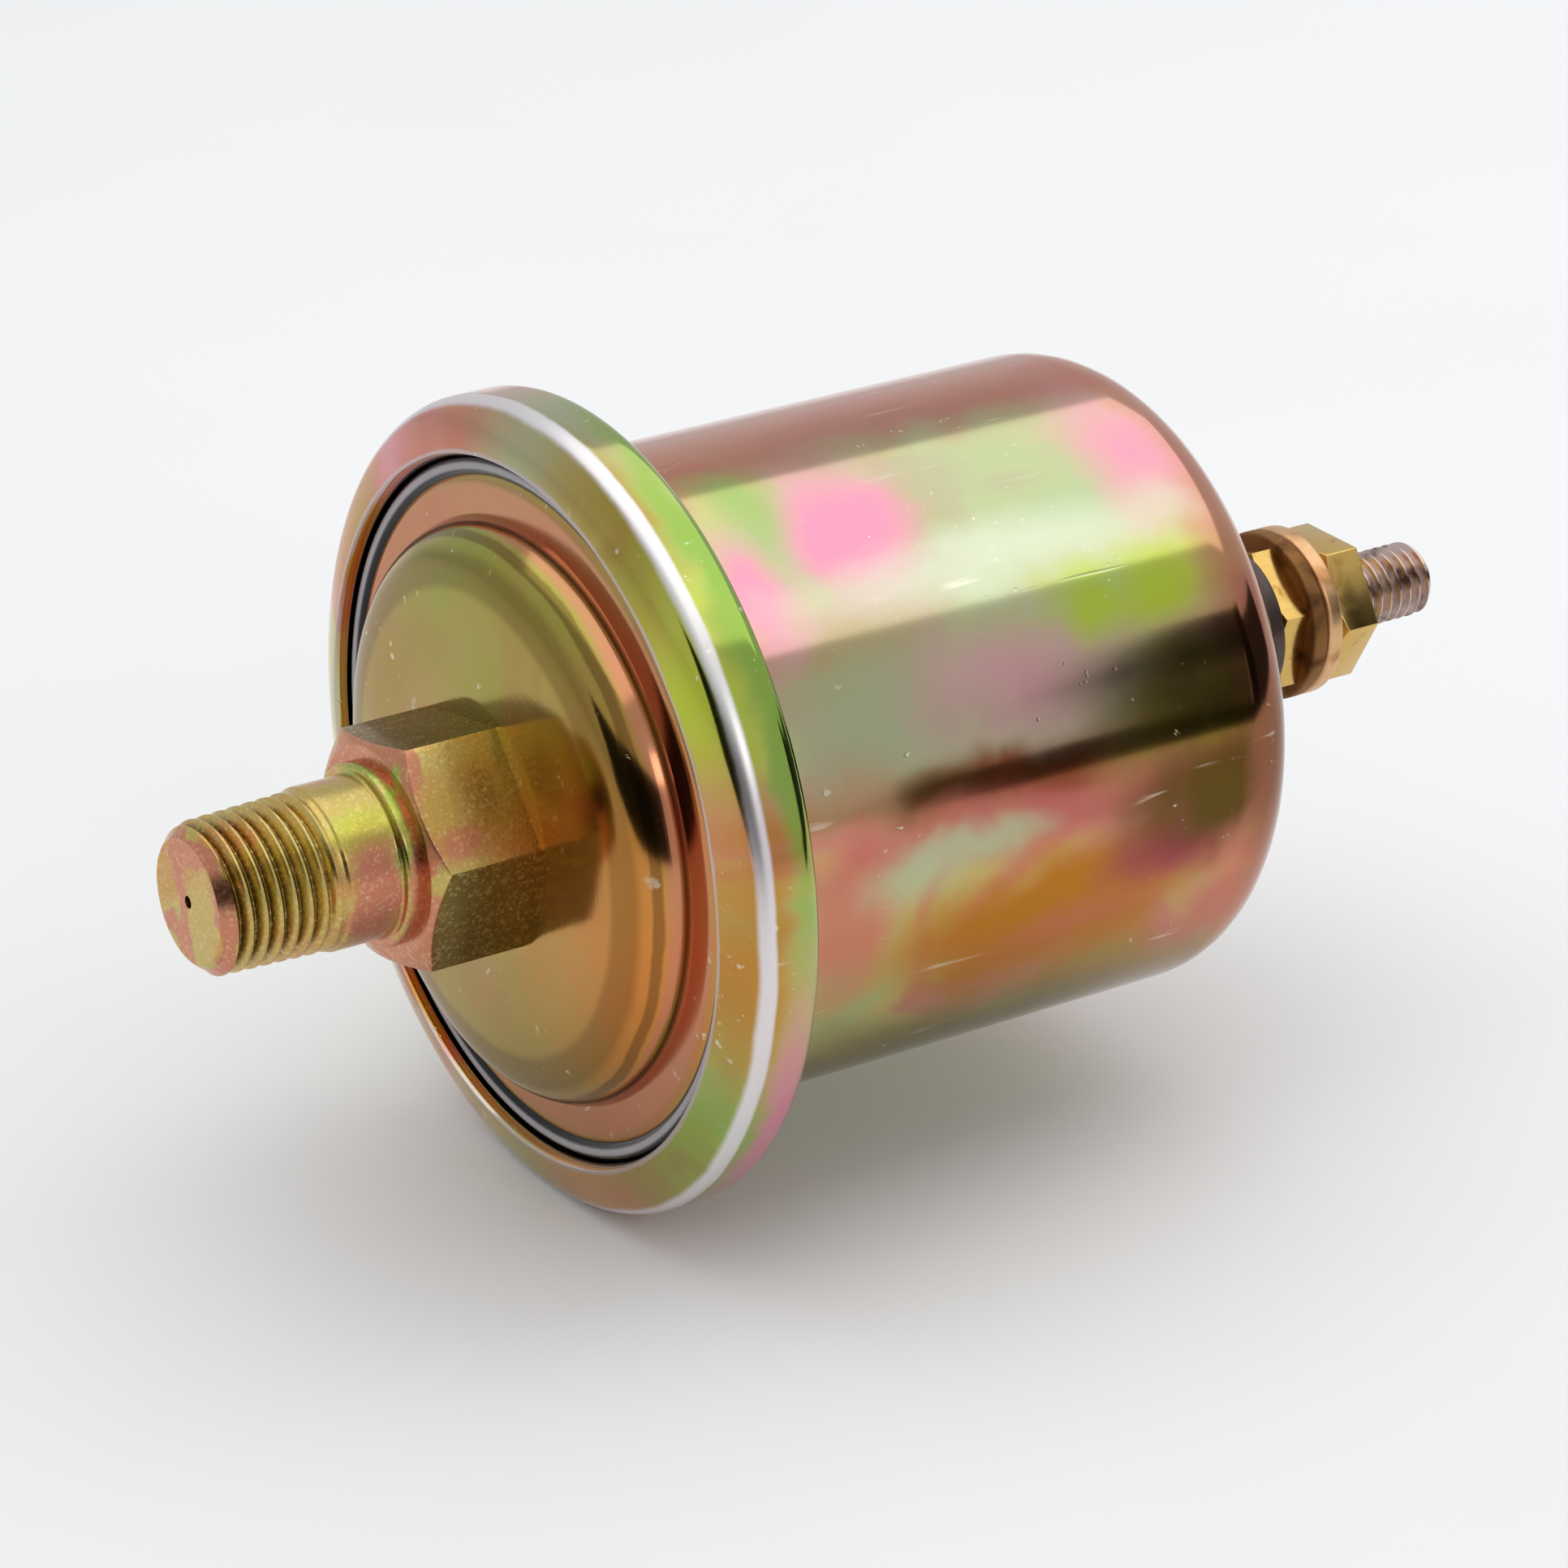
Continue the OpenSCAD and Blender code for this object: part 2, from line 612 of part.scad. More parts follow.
// Close winding of resistance wire: a band with one raised rib for each turn
module resistance_winding() {
    skin = wire_build * 0.6;
    step = 2 * winding_angle / winding_turns;
    difference() {
        color("peru") union() {
            sector(former_r0 - skin, former_r1 + skin, -winding_angle, winding_angle,
                former_y - skin, insulator_y + skin);
            for (i = [0:winding_turns - 1])
                let (a = (i + 0.5) * step - winding_angle)
                about_pivot(a) translate([former_r0 - wire_build, former_y - wire_build,
                    -wiper_arm * step * PI / 720])
                    cube([former_w + 2 * wire_build, former_t + 2 * wire_build,
                        wiper_arm * step * PI / 360]);
        }
        sector(former_r0 - seat_gap, former_r1 + seat_gap, -winding_angle - 1, winding_angle + 1,
            former_y - seat_gap, insulator_y + seat_gap);
    }
}

// Insulating plate between the former's tabs and the frame, open behind the winding
module former_insulator() {
    span = winding_angle + tab_angle;
    color("sienna") difference() {
        sector(former_r0 - 2 * window_gap, former_r1 + window_gap / 2, -span, span,
            insulator_y, frame_y);
        sector(former_r0 - window_gap, former_r1 + cut, -winding_angle, winding_angle,
            insulator_y - cut, frame_y + cut);
        for (s = [-1, 1])
            about_pivot(s * tab_mid) translate([wiper_arm, 0, 0])
                rotate([-90, 0, 0]) cylinder(h = 2 * frame_y, d = rivet_d);
    }
}

// Two rivets through the former's tabs, the insulating plate and the frame
module former_rivets() {
    head_d = rivet_d + 0.9;
    head_h = 0.3;
    y_out = frame_y + frame_t;
    color("gold") for (s = [-1, 1])
        about_pivot(s * tab_mid) translate([wiper_arm, 0, 0]) rotate([-90, 0, 0]) {
            y_in = s > 0 ? former_y - strip_t : former_y;
            translate([0, 0, y_in]) cylinder(h = y_out - y_in, d = rivet_d - slip);
            translate([0, 0, y_in - head_h]) cylinder(h = head_h, d = head_d);
            translate([0, 0, y_out]) cylinder(h = head_h, d = head_d);
        }
}

// Brass strip from the live end of the winding to the head of the terminal stud
module contact_strip() {
    tab_x = pivot_x + wiper_arm * cos(tab_mid);
    tab_z = pivot_z + wiper_arm * sin(tab_mid);
    low_z = pivot_z + (former_r1 + wire_build) * sin(winding_angle) + strip_t;
    color("gold") difference() {
        union() {
            translate([tab_x - strip_w / 2, former_y - strip_t, low_z])
                cube([x_head - tab_x + strip_w / 2, strip_t, strip_w]);
            translate([x_head - strip_t, -head_af / 4, 0])
                cube([strip_t, former_y + head_af / 4, low_z + strip_w]);
            bar(x_head - strip_t, x_head, head_af);
        }
        cross_bar(0, 2 * frame_y, rivet_d, tab_x, tab_z);
        bar(x_head - strip_t - cut, x_head + cut, shank_r + 2 * slip);
    }
}

// Terminal stud: head inside the drum, staked nose that holds the strip, plain shank, threaded end
module terminal_stud() {
    r = stud_d / 2;
    nose_r = shank_r / 2;
    stake_r = nose_r + 0.7;
    color("silver") union() {
        turned([[0, x_head - 2 * strip_t], [stake_r, x_head - 2 * strip_t],
            [stake_r, x_head - strip_t], [nose_r, x_head - strip_t], [nose_r, x_head],
            [shank_r, x_head], [shank_r, x_nut_end], [r, x_nut_end],
            [r, x_stud_end - 2 * edge], [r - 2 * edge, x_stud_end], [0, x_stud_end]]);
        hex_bar(x_head, x_head + head_t, head_af, 0);
    }
}

// Insulating washer between the stud's head and the end of the drum
module inner_insulating_washer() {
    sleeve_r = end_hole_d / 2 - slip;
    hole_r = stud_d / 2 + slip;
    brim_w = 3;
    outer_r = end_hole_d / 2 + brim_w;
    sleeve_end = x_end_inside + can_t / 2;
    color("saddlebrown") turned([[hole_r, x_head + head_t], [outer_r, x_head + head_t],
        [outer_r, x_end_inside], [sleeve_r, x_end_inside], [sleeve_r, sleeve_end],
        [hole_r, sleeve_end]]);
}

// Moulded insulator that lifts the terminal nut clear of the drum
module terminal_insulator() {
    hole_r = stud_d / 2 + slip;
    r = insulator_d / 2;
    flange_r = insulator_flange_d / 2;
    sleeve_r = end_hole_d / 2 - slip;
    sleeve_x = x_end - can_t / 2 + seat_gap;
    x_flange_top = x_end + insulator_flange_t;
    root = 1.2;
    color("saddlebrown") turned(concat([[hole_r, sleeve_x], [sleeve_r, sleeve_x],
        [sleeve_r, x_end], [flange_r, x_end], [flange_r, x_flange_top - 2 * edge],
        [flange_r - 2 * edge, x_flange_top]],
        arc([r + root, x_flange_top + root], root, 270, 180, 5),
        [[r, x_insulator - edge], [r - edge, x_insulator], [hole_r, x_insulator]]));
}

// Hexagonal nut whose face towards the drum is chamfered
module nut(x, t, turn, chamfer) {
    difference() {
        chamfered_hex(x, t, nut_af, turn, chamfer);
        bar(x - cut, x + t + cut, 2 * (shank_r + slip));
    }
}
module inner_nut() {
    color("goldenrod") nut(x_insulator, inner_nut_t, inner_nut_turn, edge);
}
module outer_nut() {
    color("goldenrod") nut(x_outer_nut, outer_nut_t, outer_nut_turn, nut_chamfer);
}

// Split spring washer
module spring_washer() {
    r = washer_d / 2;
    hole_r = stud_d / 2 + 0.2;
    split = 0.7;
    split_angle = 30;
    color("saddlebrown") difference() {
        turned([[hole_r, x_spring_washer], [r - edge, x_spring_washer],
            [r, x_spring_washer + edge], [r, x_flat_washer - edge], [r - edge, x_flat_washer],
            [hole_r, x_flat_washer]]);
        translate([x_spring_washer + spring_washer_t / 2, 0, -r]) rotate([0, 0, split_angle])
            cube([4 * spring_washer_t, split, r * 2], center = true);
    }
}

// Plain brass washer
module flat_washer() {
    r = washer_d / 2;
    hole_r = stud_d / 2 + 0.15;
    rounding = edge / 2;
    color("burlywood") turned([[hole_r, x_flat_washer], [r - rounding, x_flat_washer],
        [r, x_flat_washer + rounding], [r, x_outer_nut - rounding],
        [r - rounding, x_outer_nut], [hole_r, x_outer_nut]]);
}

pressure_fitting();
pressure_plate();
rim_seal();
housing_can();
diaphragm();
diaphragm_button();
push_pin();
return_spring();
carrier_plate();
guide_bush();
movement_frame();
frame_screws();
pivot_pin();
lever();
wiper_spring();
wiper_contact();
resistor_former();
resistance_winding();
former_insulator();
former_rivets();
contact_strip();
terminal_stud();
inner_insulating_washer();
terminal_insulator();
inner_nut();
spring_washer();
flat_washer();
outer_nut();
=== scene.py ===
"""Oil pressure sender: the visible pieces and finishes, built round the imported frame.

The sender's axis is +X, from the threaded port to the terminal stud, and +Z is up.
Sizes in the classes are in millimetres, and meshes are in metres.
"""

import logging
import math
from contextlib import contextmanager
from dataclasses import dataclass, field
from enum import Enum
from itertools import pairwise
from typing import Iterator, Sequence

import bpy
from mathutils import Matrix, Vector


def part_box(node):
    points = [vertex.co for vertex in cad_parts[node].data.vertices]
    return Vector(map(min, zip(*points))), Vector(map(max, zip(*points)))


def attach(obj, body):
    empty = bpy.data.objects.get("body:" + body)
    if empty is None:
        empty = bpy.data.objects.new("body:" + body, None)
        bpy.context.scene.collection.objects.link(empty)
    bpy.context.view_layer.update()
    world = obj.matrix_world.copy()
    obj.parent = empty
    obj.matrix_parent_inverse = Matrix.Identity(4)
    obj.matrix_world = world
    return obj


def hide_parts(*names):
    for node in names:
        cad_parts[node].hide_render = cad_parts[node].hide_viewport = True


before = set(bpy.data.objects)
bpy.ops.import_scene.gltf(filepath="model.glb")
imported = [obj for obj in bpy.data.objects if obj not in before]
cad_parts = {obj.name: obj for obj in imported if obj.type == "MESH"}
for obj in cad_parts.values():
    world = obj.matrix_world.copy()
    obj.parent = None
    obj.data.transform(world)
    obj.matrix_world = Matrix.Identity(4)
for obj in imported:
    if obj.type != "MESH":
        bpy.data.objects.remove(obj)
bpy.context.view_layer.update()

log = logging.getLogger("sender")
MM = 0.001
WELD = 2e-6
GUARD = 0.25
Point = tuple[float, float]
Colour = tuple[float, float, float]


def linear(red: int, green: int, blue: int) -> Colour:
    """Returns the linear colour of an 8-bit display colour."""
    return tuple(
        c / 12.92 if c <= 0.04045 else ((c + 0.055) / 1.055) ** 2.4
        for c in (red / 255, green / 255, blue / 255)
    )


# Outlines


@dataclass(frozen=True)
class Corner:
    """A corner of an outline: its place along the axis, its radius, and the round on it."""

    x: float
    r: float
    round_r: float = 0.0


def rounded(corners: Sequence[Corner], closed: bool = False) -> list[Point]:
    """Rounds the corners of an outline with arcs.

    A guard point stands just outside each end of an arc, so that the flat beside it keeps
    its own shading.

    Args:
        corners: The corners in order.
        closed: True if the last corner joins the first.

    Returns:
        The outline's points, as (x, r) in millimetres.
    """
    points: list[Point] = []
    count = len(corners)
    for i, corner in enumerate(corners):
        at = Vector((corner.x, corner.r))
        inner = closed or 0 < i < count - 1
        if not corner.round_r or not inner:
            points.append((corner.x, corner.r))
            continue
        before, after = corners[i - 1], corners[(i + 1) % count]
        u = (Vector((before.x, before.r)) - at).normalized()
        v = (Vector((after.x, after.r)) - at).normalized()
        half = u.angle(v) / 2
        reach = corner.round_r / math.tan(half)
        centre = at + (u + v).normalized() * corner.round_r / math.sin(half)
        start, end = at + u * reach - centre, at + v * reach - centre
        sweep = end.angle_signed(start)
        steps = max(3, round(abs(math.degrees(sweep)) / 11))
        arc = [centre + Matrix.Rotation(sweep * k / steps, 2) @ start for k in range(steps + 1)]
        if ((Vector((before.x, before.r)) - at).length - reach) > 4 * GUARD:
            arc.insert(0, at + u * (reach + GUARD))
        if ((Vector((after.x, after.r)) - at).length - reach) > 4 * GUARD:
            arc.append(at + v * (reach + GUARD))
        points.extend((p.x, p.y) for p in arc)
    return points


# Modelling by operators


def deselect_all() -> None:
    """Leaves edit mode and deselects every object."""
    if bpy.context.object and bpy.context.object.mode != "OBJECT":
        bpy.ops.object.mode_set(mode="OBJECT")
    bpy.ops.object.select_all(action="DESELECT")


def pick(*objects: bpy.types.Object) -> None:
    """Selects these objects alone, and makes the first one active."""
    deselect_all()
    for each in objects:
        each.select_set(True)
    bpy.context.view_layer.objects.active = objects[0]


@contextmanager
def editing(piece: bpy.types.Object) -> Iterator[None]:
    """Opens a piece in edit mode with all of it selected, and closes it again."""
    pick(piece)
    bpy.ops.object.mode_set(mode="EDIT")
    bpy.ops.mesh.select_all(action="SELECT")
    yield
    bpy.ops.object.mode_set(mode="OBJECT")


def weld(piece: bpy.types.Object) -> None:
    """Merges doubled points and turns every face outwards."""
    with editing(piece):
        bpy.ops.mesh.remove_doubles(threshold=WELD)
        bpy.ops.mesh.select_all(action="SELECT")
        bpy.ops.mesh.normals_make_consistent(inside=False)


def settle(piece: bpy.types.Object) -> None:
    """Puts a piece's place, turn and scale into its mesh."""
    pick(piece)
    bpy.ops.object.transform_apply(location=True, rotation=True, scale=True)


def smooth(piece: bpy.types.Object, angle: float = 32.0) -> None:
    """Shades a piece smooth, with creases over an angle in degrees."""
    pick(piece)
    bpy.ops.object.shade_smooth_by_angle(angle=math.radians(angle))


def apply_modifier(piece: bpy.types.Object, kind: str, **settings: object) -> None:
    """Adds one modifier with its settings and applies it."""
    pick(piece)
    modifier = piece.modifiers.new(kind.title(), kind)
    for key, value in settings.items():
        setattr(modifier, key, value)
    bpy.ops.object.modifier_apply(modifier=modifier.name)


def combine(piece: bpy.types.Object, tool: bpy.types.Object, operation: str) -> None:
    """Joins, cuts or intersects a piece with a tool, and deletes the tool."""
    apply_modifier(piece, "BOOLEAN", object=tool, operation=operation, solver="EXACT")
    bpy.data.objects.remove(tool)


def outline_mesh(name: str, points: Sequence[Point], closed: bool) -> bpy.types.Object:
    """Draws an outline as edges: a plane merged to one point, then extruded point by point.

    Args:
        name: The new object's name.
        points: The outline's (x, r) points in millimetres.
        closed: True if the last point joins the first.

    Returns:
        The object, whose mesh is a line in the XZ plane.
    """
    deselect_all()
    x0, r0 = points[0]
    bpy.ops.mesh.primitive_plane_add(size=MM, location=(x0 * MM, 0, r0 * MM))
    piece = bpy.context.object
    piece.name = name
    settle(piece)
    line = list(points) + ([points[0]] if closed else [])
    with editing(piece):
        bpy.ops.mesh.merge(type="CENTER")
        for (xa, ra), (xb, rb) in pairwise(line):
            step = ((xb - xa) * MM, 0, (rb - ra) * MM)
            bpy.ops.mesh.extrude_vertices_move(TRANSFORM_OT_translate={"value": step})
        bpy.ops.mesh.select_all(action="SELECT")
        bpy.ops.mesh.remove_doubles(threshold=WELD)
    return piece


def turned(name: str, points: Sequence[Point], steps: int = 144) -> bpy.types.Object:
    """Spins an outline round the axis into a closed solid.

    Args:
        name: The new object's name.
        points: The outline's (x, r) points. It closes on itself unless it ends on the axis.
        steps: Faces round the circle.

    Returns:
        The turned piece.
    """
    on_axis = points[0][1] == 0 and points[-1][1] == 0
    piece = outline_mesh(name, points, closed=not on_axis)
    spin(piece, steps)
    return piece


def spin(piece: bpy.types.Object, steps: int) -> None:
    """Spins a line once round the axis and closes its seam and poles."""
    with editing(piece):
        bpy.ops.mesh.spin(
            steps=steps, angle=math.tau, center=(0, 0, 0), axis=(1, 0, 0)
        )
    weld(piece)


def pressed(
    name: str, points: Sequence[Point], thickness: float, steps: int = 192
) -> bpy.types.Object:
    """Spins the outside of a sheet part, then thickens it inwards and eases its cut edges.

    Args:
        name: The new object's name.
        points: The outside's (x, r) points in millimetres.
        thickness: The sheet's thickness in millimetres.
        steps: Faces round the circle.

    Returns:
        The sheet part.
    """
    piece = outline_mesh(name, points, closed=False)
    spin(piece, steps)
    apply_modifier(
        piece, "SOLIDIFY", thickness=thickness * MM, offset=-1.0, use_even_offset=True
    )
    apply_modifier(
        piece, "BEVEL", width=0.1 * MM, segments=2, angle_limit=math.radians(60)
    )
    return piece


def hexagon(
    name: str, x0: float, x1: float, flats: float, corner_at: float
) -> bpy.types.Object:
    """Makes a hexagonal prism along the axis.

    Args:
        name: The new object's name.
        x0: Its first face along the axis, in millimetres.
        x1: Its last face.
        flats: Width across its flats.
        corner_at: Angle of one corner from +Y towards +Z, in degrees.

    Returns:
        The prism.
    """
    deselect_all()
    bpy.ops.mesh.primitive_cylinder_add(
        vertices=6,
        radius=flats * MM / math.sqrt(3),
        depth=(x1 - x0) * MM,
        rotation=(0, math.pi / 2, 0),
    )
    piece = bpy.context.object
    piece.name = name
    settle(piece)
    piece.rotation_euler = (math.radians(corner_at), 0, 0)
    piece.location = ((x0 + x1) / 2 * MM, 0, 0)
    settle(piece)
    return piece


def chamfered_hexagon(
    name: str, x0: float, x1: float, flats: float, corner_at: float, ends: Point
) -> bpy.types.Object:
    """Makes a hexagon whose corners are turned down on one or both faces.

    Args:
        name: The new object's name.
        x0: Its first face along the axis, in millimetres.
        x1: Its last face.
        flats: Width across its flats.
        corner_at: Angle of one corner from +Y towards +Z, in degrees.
        ends: Length of the chamfer along the axis on the first and the last face.

    Returns:
        The hexagon, with eased edges.
    """
    piece = hexagon(name, x0, x1, flats, corner_at)
    corner = flats / math.sqrt(3)
    reach = 3.0
    front, back = ends
    outline = [(x0 - 1, 0.0)] if not front else [(x0, 0.0), (x0, corner - 2 * front)]
    outline += [(x0 + front + reach / 2, corner + reach)] if front else [
        (x0 - 1, corner + reach)
    ]
    outline += (
        [(x1 - back - reach / 2, corner + reach), (x1, corner - 2 * back), (x1, 0.0)]
        if back
        else [(x1 + 1, corner + reach), (x1 + 1, 0.0)]
    )
    combine(piece, turned("turning", outline, 128), "INTERSECT")
    apply_modifier(
        piece, "BEVEL", width=0.09 * MM, segments=3, angle_limit=math.radians(24)
    )
    return piece


@dataclass(frozen=True)
class Thread:
    """A cut thread along the axis, in millimetres.

    Attributes:
        start: Where its first turn begins.
        end: Where its last turn ends.
        crest_r: Radius over the crests at its end.
        pitch: Distance between turns.
        depth: Depth of the groove.
        taper: Widening of the diameter for each millimetre of length.
        nose: Chamfer at its start.
        run_out: Length over which the groove fades at its end.
        steps: Faces for each turn.
    """

    start: float
    end: float
    crest_r: float
    pitch: float
    depth: float
    taper: float = 0.0
    nose: float = 0.0
    tail: float = 0.0
    run_out: float = 0.0
    steps: int = 96

    def crest_at(self, x: float) -> float:
        """Returns the radius over the crests at x."""
        return self.crest_r - (self.end - x) * self.taper / 2

    def shaped(self, x: float, r: float) -> float:
        """Returns a point's radius once the taper, the chamfers and the run-out are cut.

        Args:
            x: Its place along the axis.
            r: Its radius on a straight thread.

        Returns:
            Its radius on this thread.
        """
        crest = self.crest_at(x)
        groove = self.crest_r - r
        if self.run_out:
            fade = min(1.0, max(0.0, (self.end - x) / self.run_out))
            groove *= fade * fade * (3 - 2 * fade)
        limit = crest
        if self.nose:
            limit = min(limit, self.crest_at(self.start) - self.nose + x - self.start)
        if self.tail:
            limit = min(limit, crest - self.tail + self.end - x)
        return min(crest - groove, limit)

    def build(self, name: str) -> bpy.types.Object:
        """Winds one tooth into a helix with the Screw modifier, shapes it and closes its ends.

        Args:
            name: The new object's name.

        Returns:
            A closed threaded bar.
        """
        turns = math.ceil((self.end - self.start) / self.pitch) + 3
        x0 = self.start - 2 * self.pitch
        tooth = [
            (0.0, 0.0), (0.04, 0.0), (0.17, 0.33), (0.30, 0.67), (0.43, 1.0),
            (0.57, 1.0), (0.70, 0.67), (0.83, 0.33), (0.96, 0.0), (1.0, 0.0),
        ]
        points = [
            (x0 + a * self.pitch, self.crest_r - self.depth * (1 - h)) for a, h in tooth
        ]
        piece = outline_mesh(name, points, closed=False)
        apply_modifier(
            piece,
            "SCREW",
            axis="X",
            screw_offset=self.pitch * MM,
            iterations=turns,
            steps=self.steps,
            render_steps=self.steps,
            use_merge_vertices=True,
            merge_threshold=WELD,
        )
        for vertex in piece.data.vertices:
            x, y, z = vertex.co
            r = math.hypot(y, z)
            along = min(max(x / MM, self.start), self.end)
            trimmed = along in (self.start, self.end)
            wound = self.crest_r - self.depth if trimmed else r / MM
            scale = self.shaped(along, wound) * MM / r
            vertex.co = (along * MM, y * scale, z * scale)
        with editing(piece):
            bpy.ops.mesh.remove_doubles(threshold=WELD)
            bpy.ops.mesh.dissolve_degenerate(threshold=WELD)
            bpy.ops.mesh.fill_holes(sides=0)
        weld(piece)
        return piece


# Shader work


class Bench:
    """Places nodes in one node tree and links them."""

    def __init__(self, tree: bpy.types.NodeTree) -> None:
        """Takes the tree to work in."""
        self.tree = tree

    def add(self, kind: str, **settings: object) -> bpy.types.Node:
        """Adds a node of a kind, with its settings."""
        node = self.tree.nodes.new(kind)
        for key, value in settings.items():
            setattr(node, key, value)
        return node

    def put(self, socket: bpy.types.NodeSocket, value: object) -> None:
        """Links a socket to another, or sets its value."""
        if isinstance(value, bpy.types.NodeSocket):
            self.tree.links.new(value, socket)
        elif isinstance(value, tuple) and len(value) == 3 and socket.type == "RGBA":
            socket.default_value = (*value, 1.0)
        else:
            socket.default_value = value

    def math(self, operation: str, *values: object) -> bpy.types.NodeSocket:
        """Adds a Math node over up to three values."""
        node = self.add("ShaderNodeMath", operation=operation)
        for socket, value in zip(node.inputs, values):
            self.put(socket, value)
        return node.outputs[0]

    def ease(self, value: object, low: float, high: float) -> bpy.types.NodeSocket:
        """Maps a value smoothly from low to high onto 0 to 1."""
        node = self.add("ShaderNodeMapRange", interpolation_type="SMOOTHSTEP")
        for name, number in (("Value", value), ("From Min", low), ("From Max", high)):
            self.put(node.inputs[name], number)
        return node.outputs[0]

    def scaled(
        self, value: object, low: float, high: float
    ) -> bpy.types.NodeSocket:
        """Maps a value from 0 to 1 onto low to high."""
        node = self.add("ShaderNodeMapRange")
        for name, number in (("Value", value), ("To Min", low), ("To Max", high)):
            self.put(node.inputs[name], number)
        return node.outputs[0]

    def mix(
        self, factor: object, a: object, b: object, blend: str = "MIX"
    ) -> bpy.types.NodeSocket:
        """Mixes two colours."""
        node = self.add("ShaderNodeMix", data_type="RGBA", blend_type=blend)
        self.put(node.inputs[0], factor)
        self.put(node.inputs[6], a)
        self.put(node.inputs[7], b)
        return node.outputs[2]

    def noise(
        self, vector: object, scale: object, detail: float = 2.0, twist: float = 0.0
    ) -> bpy.types.NodeSocket:
        """Adds a noise texture and gives its value."""
        node = self.add("ShaderNodeTexNoise")
        self.put(node.inputs["Vector"], vector)
        self.put(node.inputs["Scale"], scale)
        self.put(node.inputs["Detail"], detail)
        self.put(node.inputs["Distortion"], twist)
        return node.outputs["Fac"]

    def ramp(
        self, factor: object, stops: Sequence[tuple[float, Colour]]
    ) -> bpy.types.NodeSocket:
        """Adds a colour ramp with these stops."""
        node = self.add("ShaderNodeValToRGB")
        ramp = node.color_ramp
        ramp.interpolation = "EASE"
        while len(ramp.elements) < len(stops):
            ramp.elements.new(0.5)
        for element, (place, colour) in zip(ramp.elements, stops):
            element.position = place
            element.color = (*colour, 1.0)
        self.put(node.inputs[0], factor)
        return node.outputs[0]

    def stretched(
        self, vector: object, scale: tuple[float, float, float]
    ) -> bpy.types.NodeSocket:
        """Stretches a vector with a Mapping node."""
        node = self.add("ShaderNodeMapping")
        self.put(node.inputs["Vector"], vector)
        node.inputs["Scale"].default_value = scale
        return node.outputs[0]

    def group(self, tree: bpy.types.NodeTree, **values: object) -> bpy.types.Node:
        """Places a node group, with its inputs by name and spaces for underscores."""
        node = self.add("ShaderNodeGroup", node_tree=tree)
        for name, value in values.items():
            self.put(node.inputs[name.replace("_", " ")], value)
        return node


def new_group(
    name: str, inputs: dict[str, str], outputs: dict[str, str]
) -> tuple[Bench, bpy.types.Node, bpy.types.Node]:
    """Starts a shader node group.

    Args:
        name: The group's name.
        inputs: Socket names and kinds, such as {"Scale": "Float"}.
        outputs: The same for what it puts out.

    Returns:
        A bench for the group, its input node and its output node.
    """
    tree = bpy.data.node_groups.new(name, "ShaderNodeTree")
    for way, sockets in (("INPUT", inputs), ("OUTPUT", outputs)):
        for label, kind in sockets.items():
            tree.interface.new_socket(
                name=label, in_out=way, socket_type=f"NodeSocket{kind}"
            )
    bench = Bench(tree)
    return bench, bench.add("NodeGroupInput"), bench.add("NodeGroupOutput")


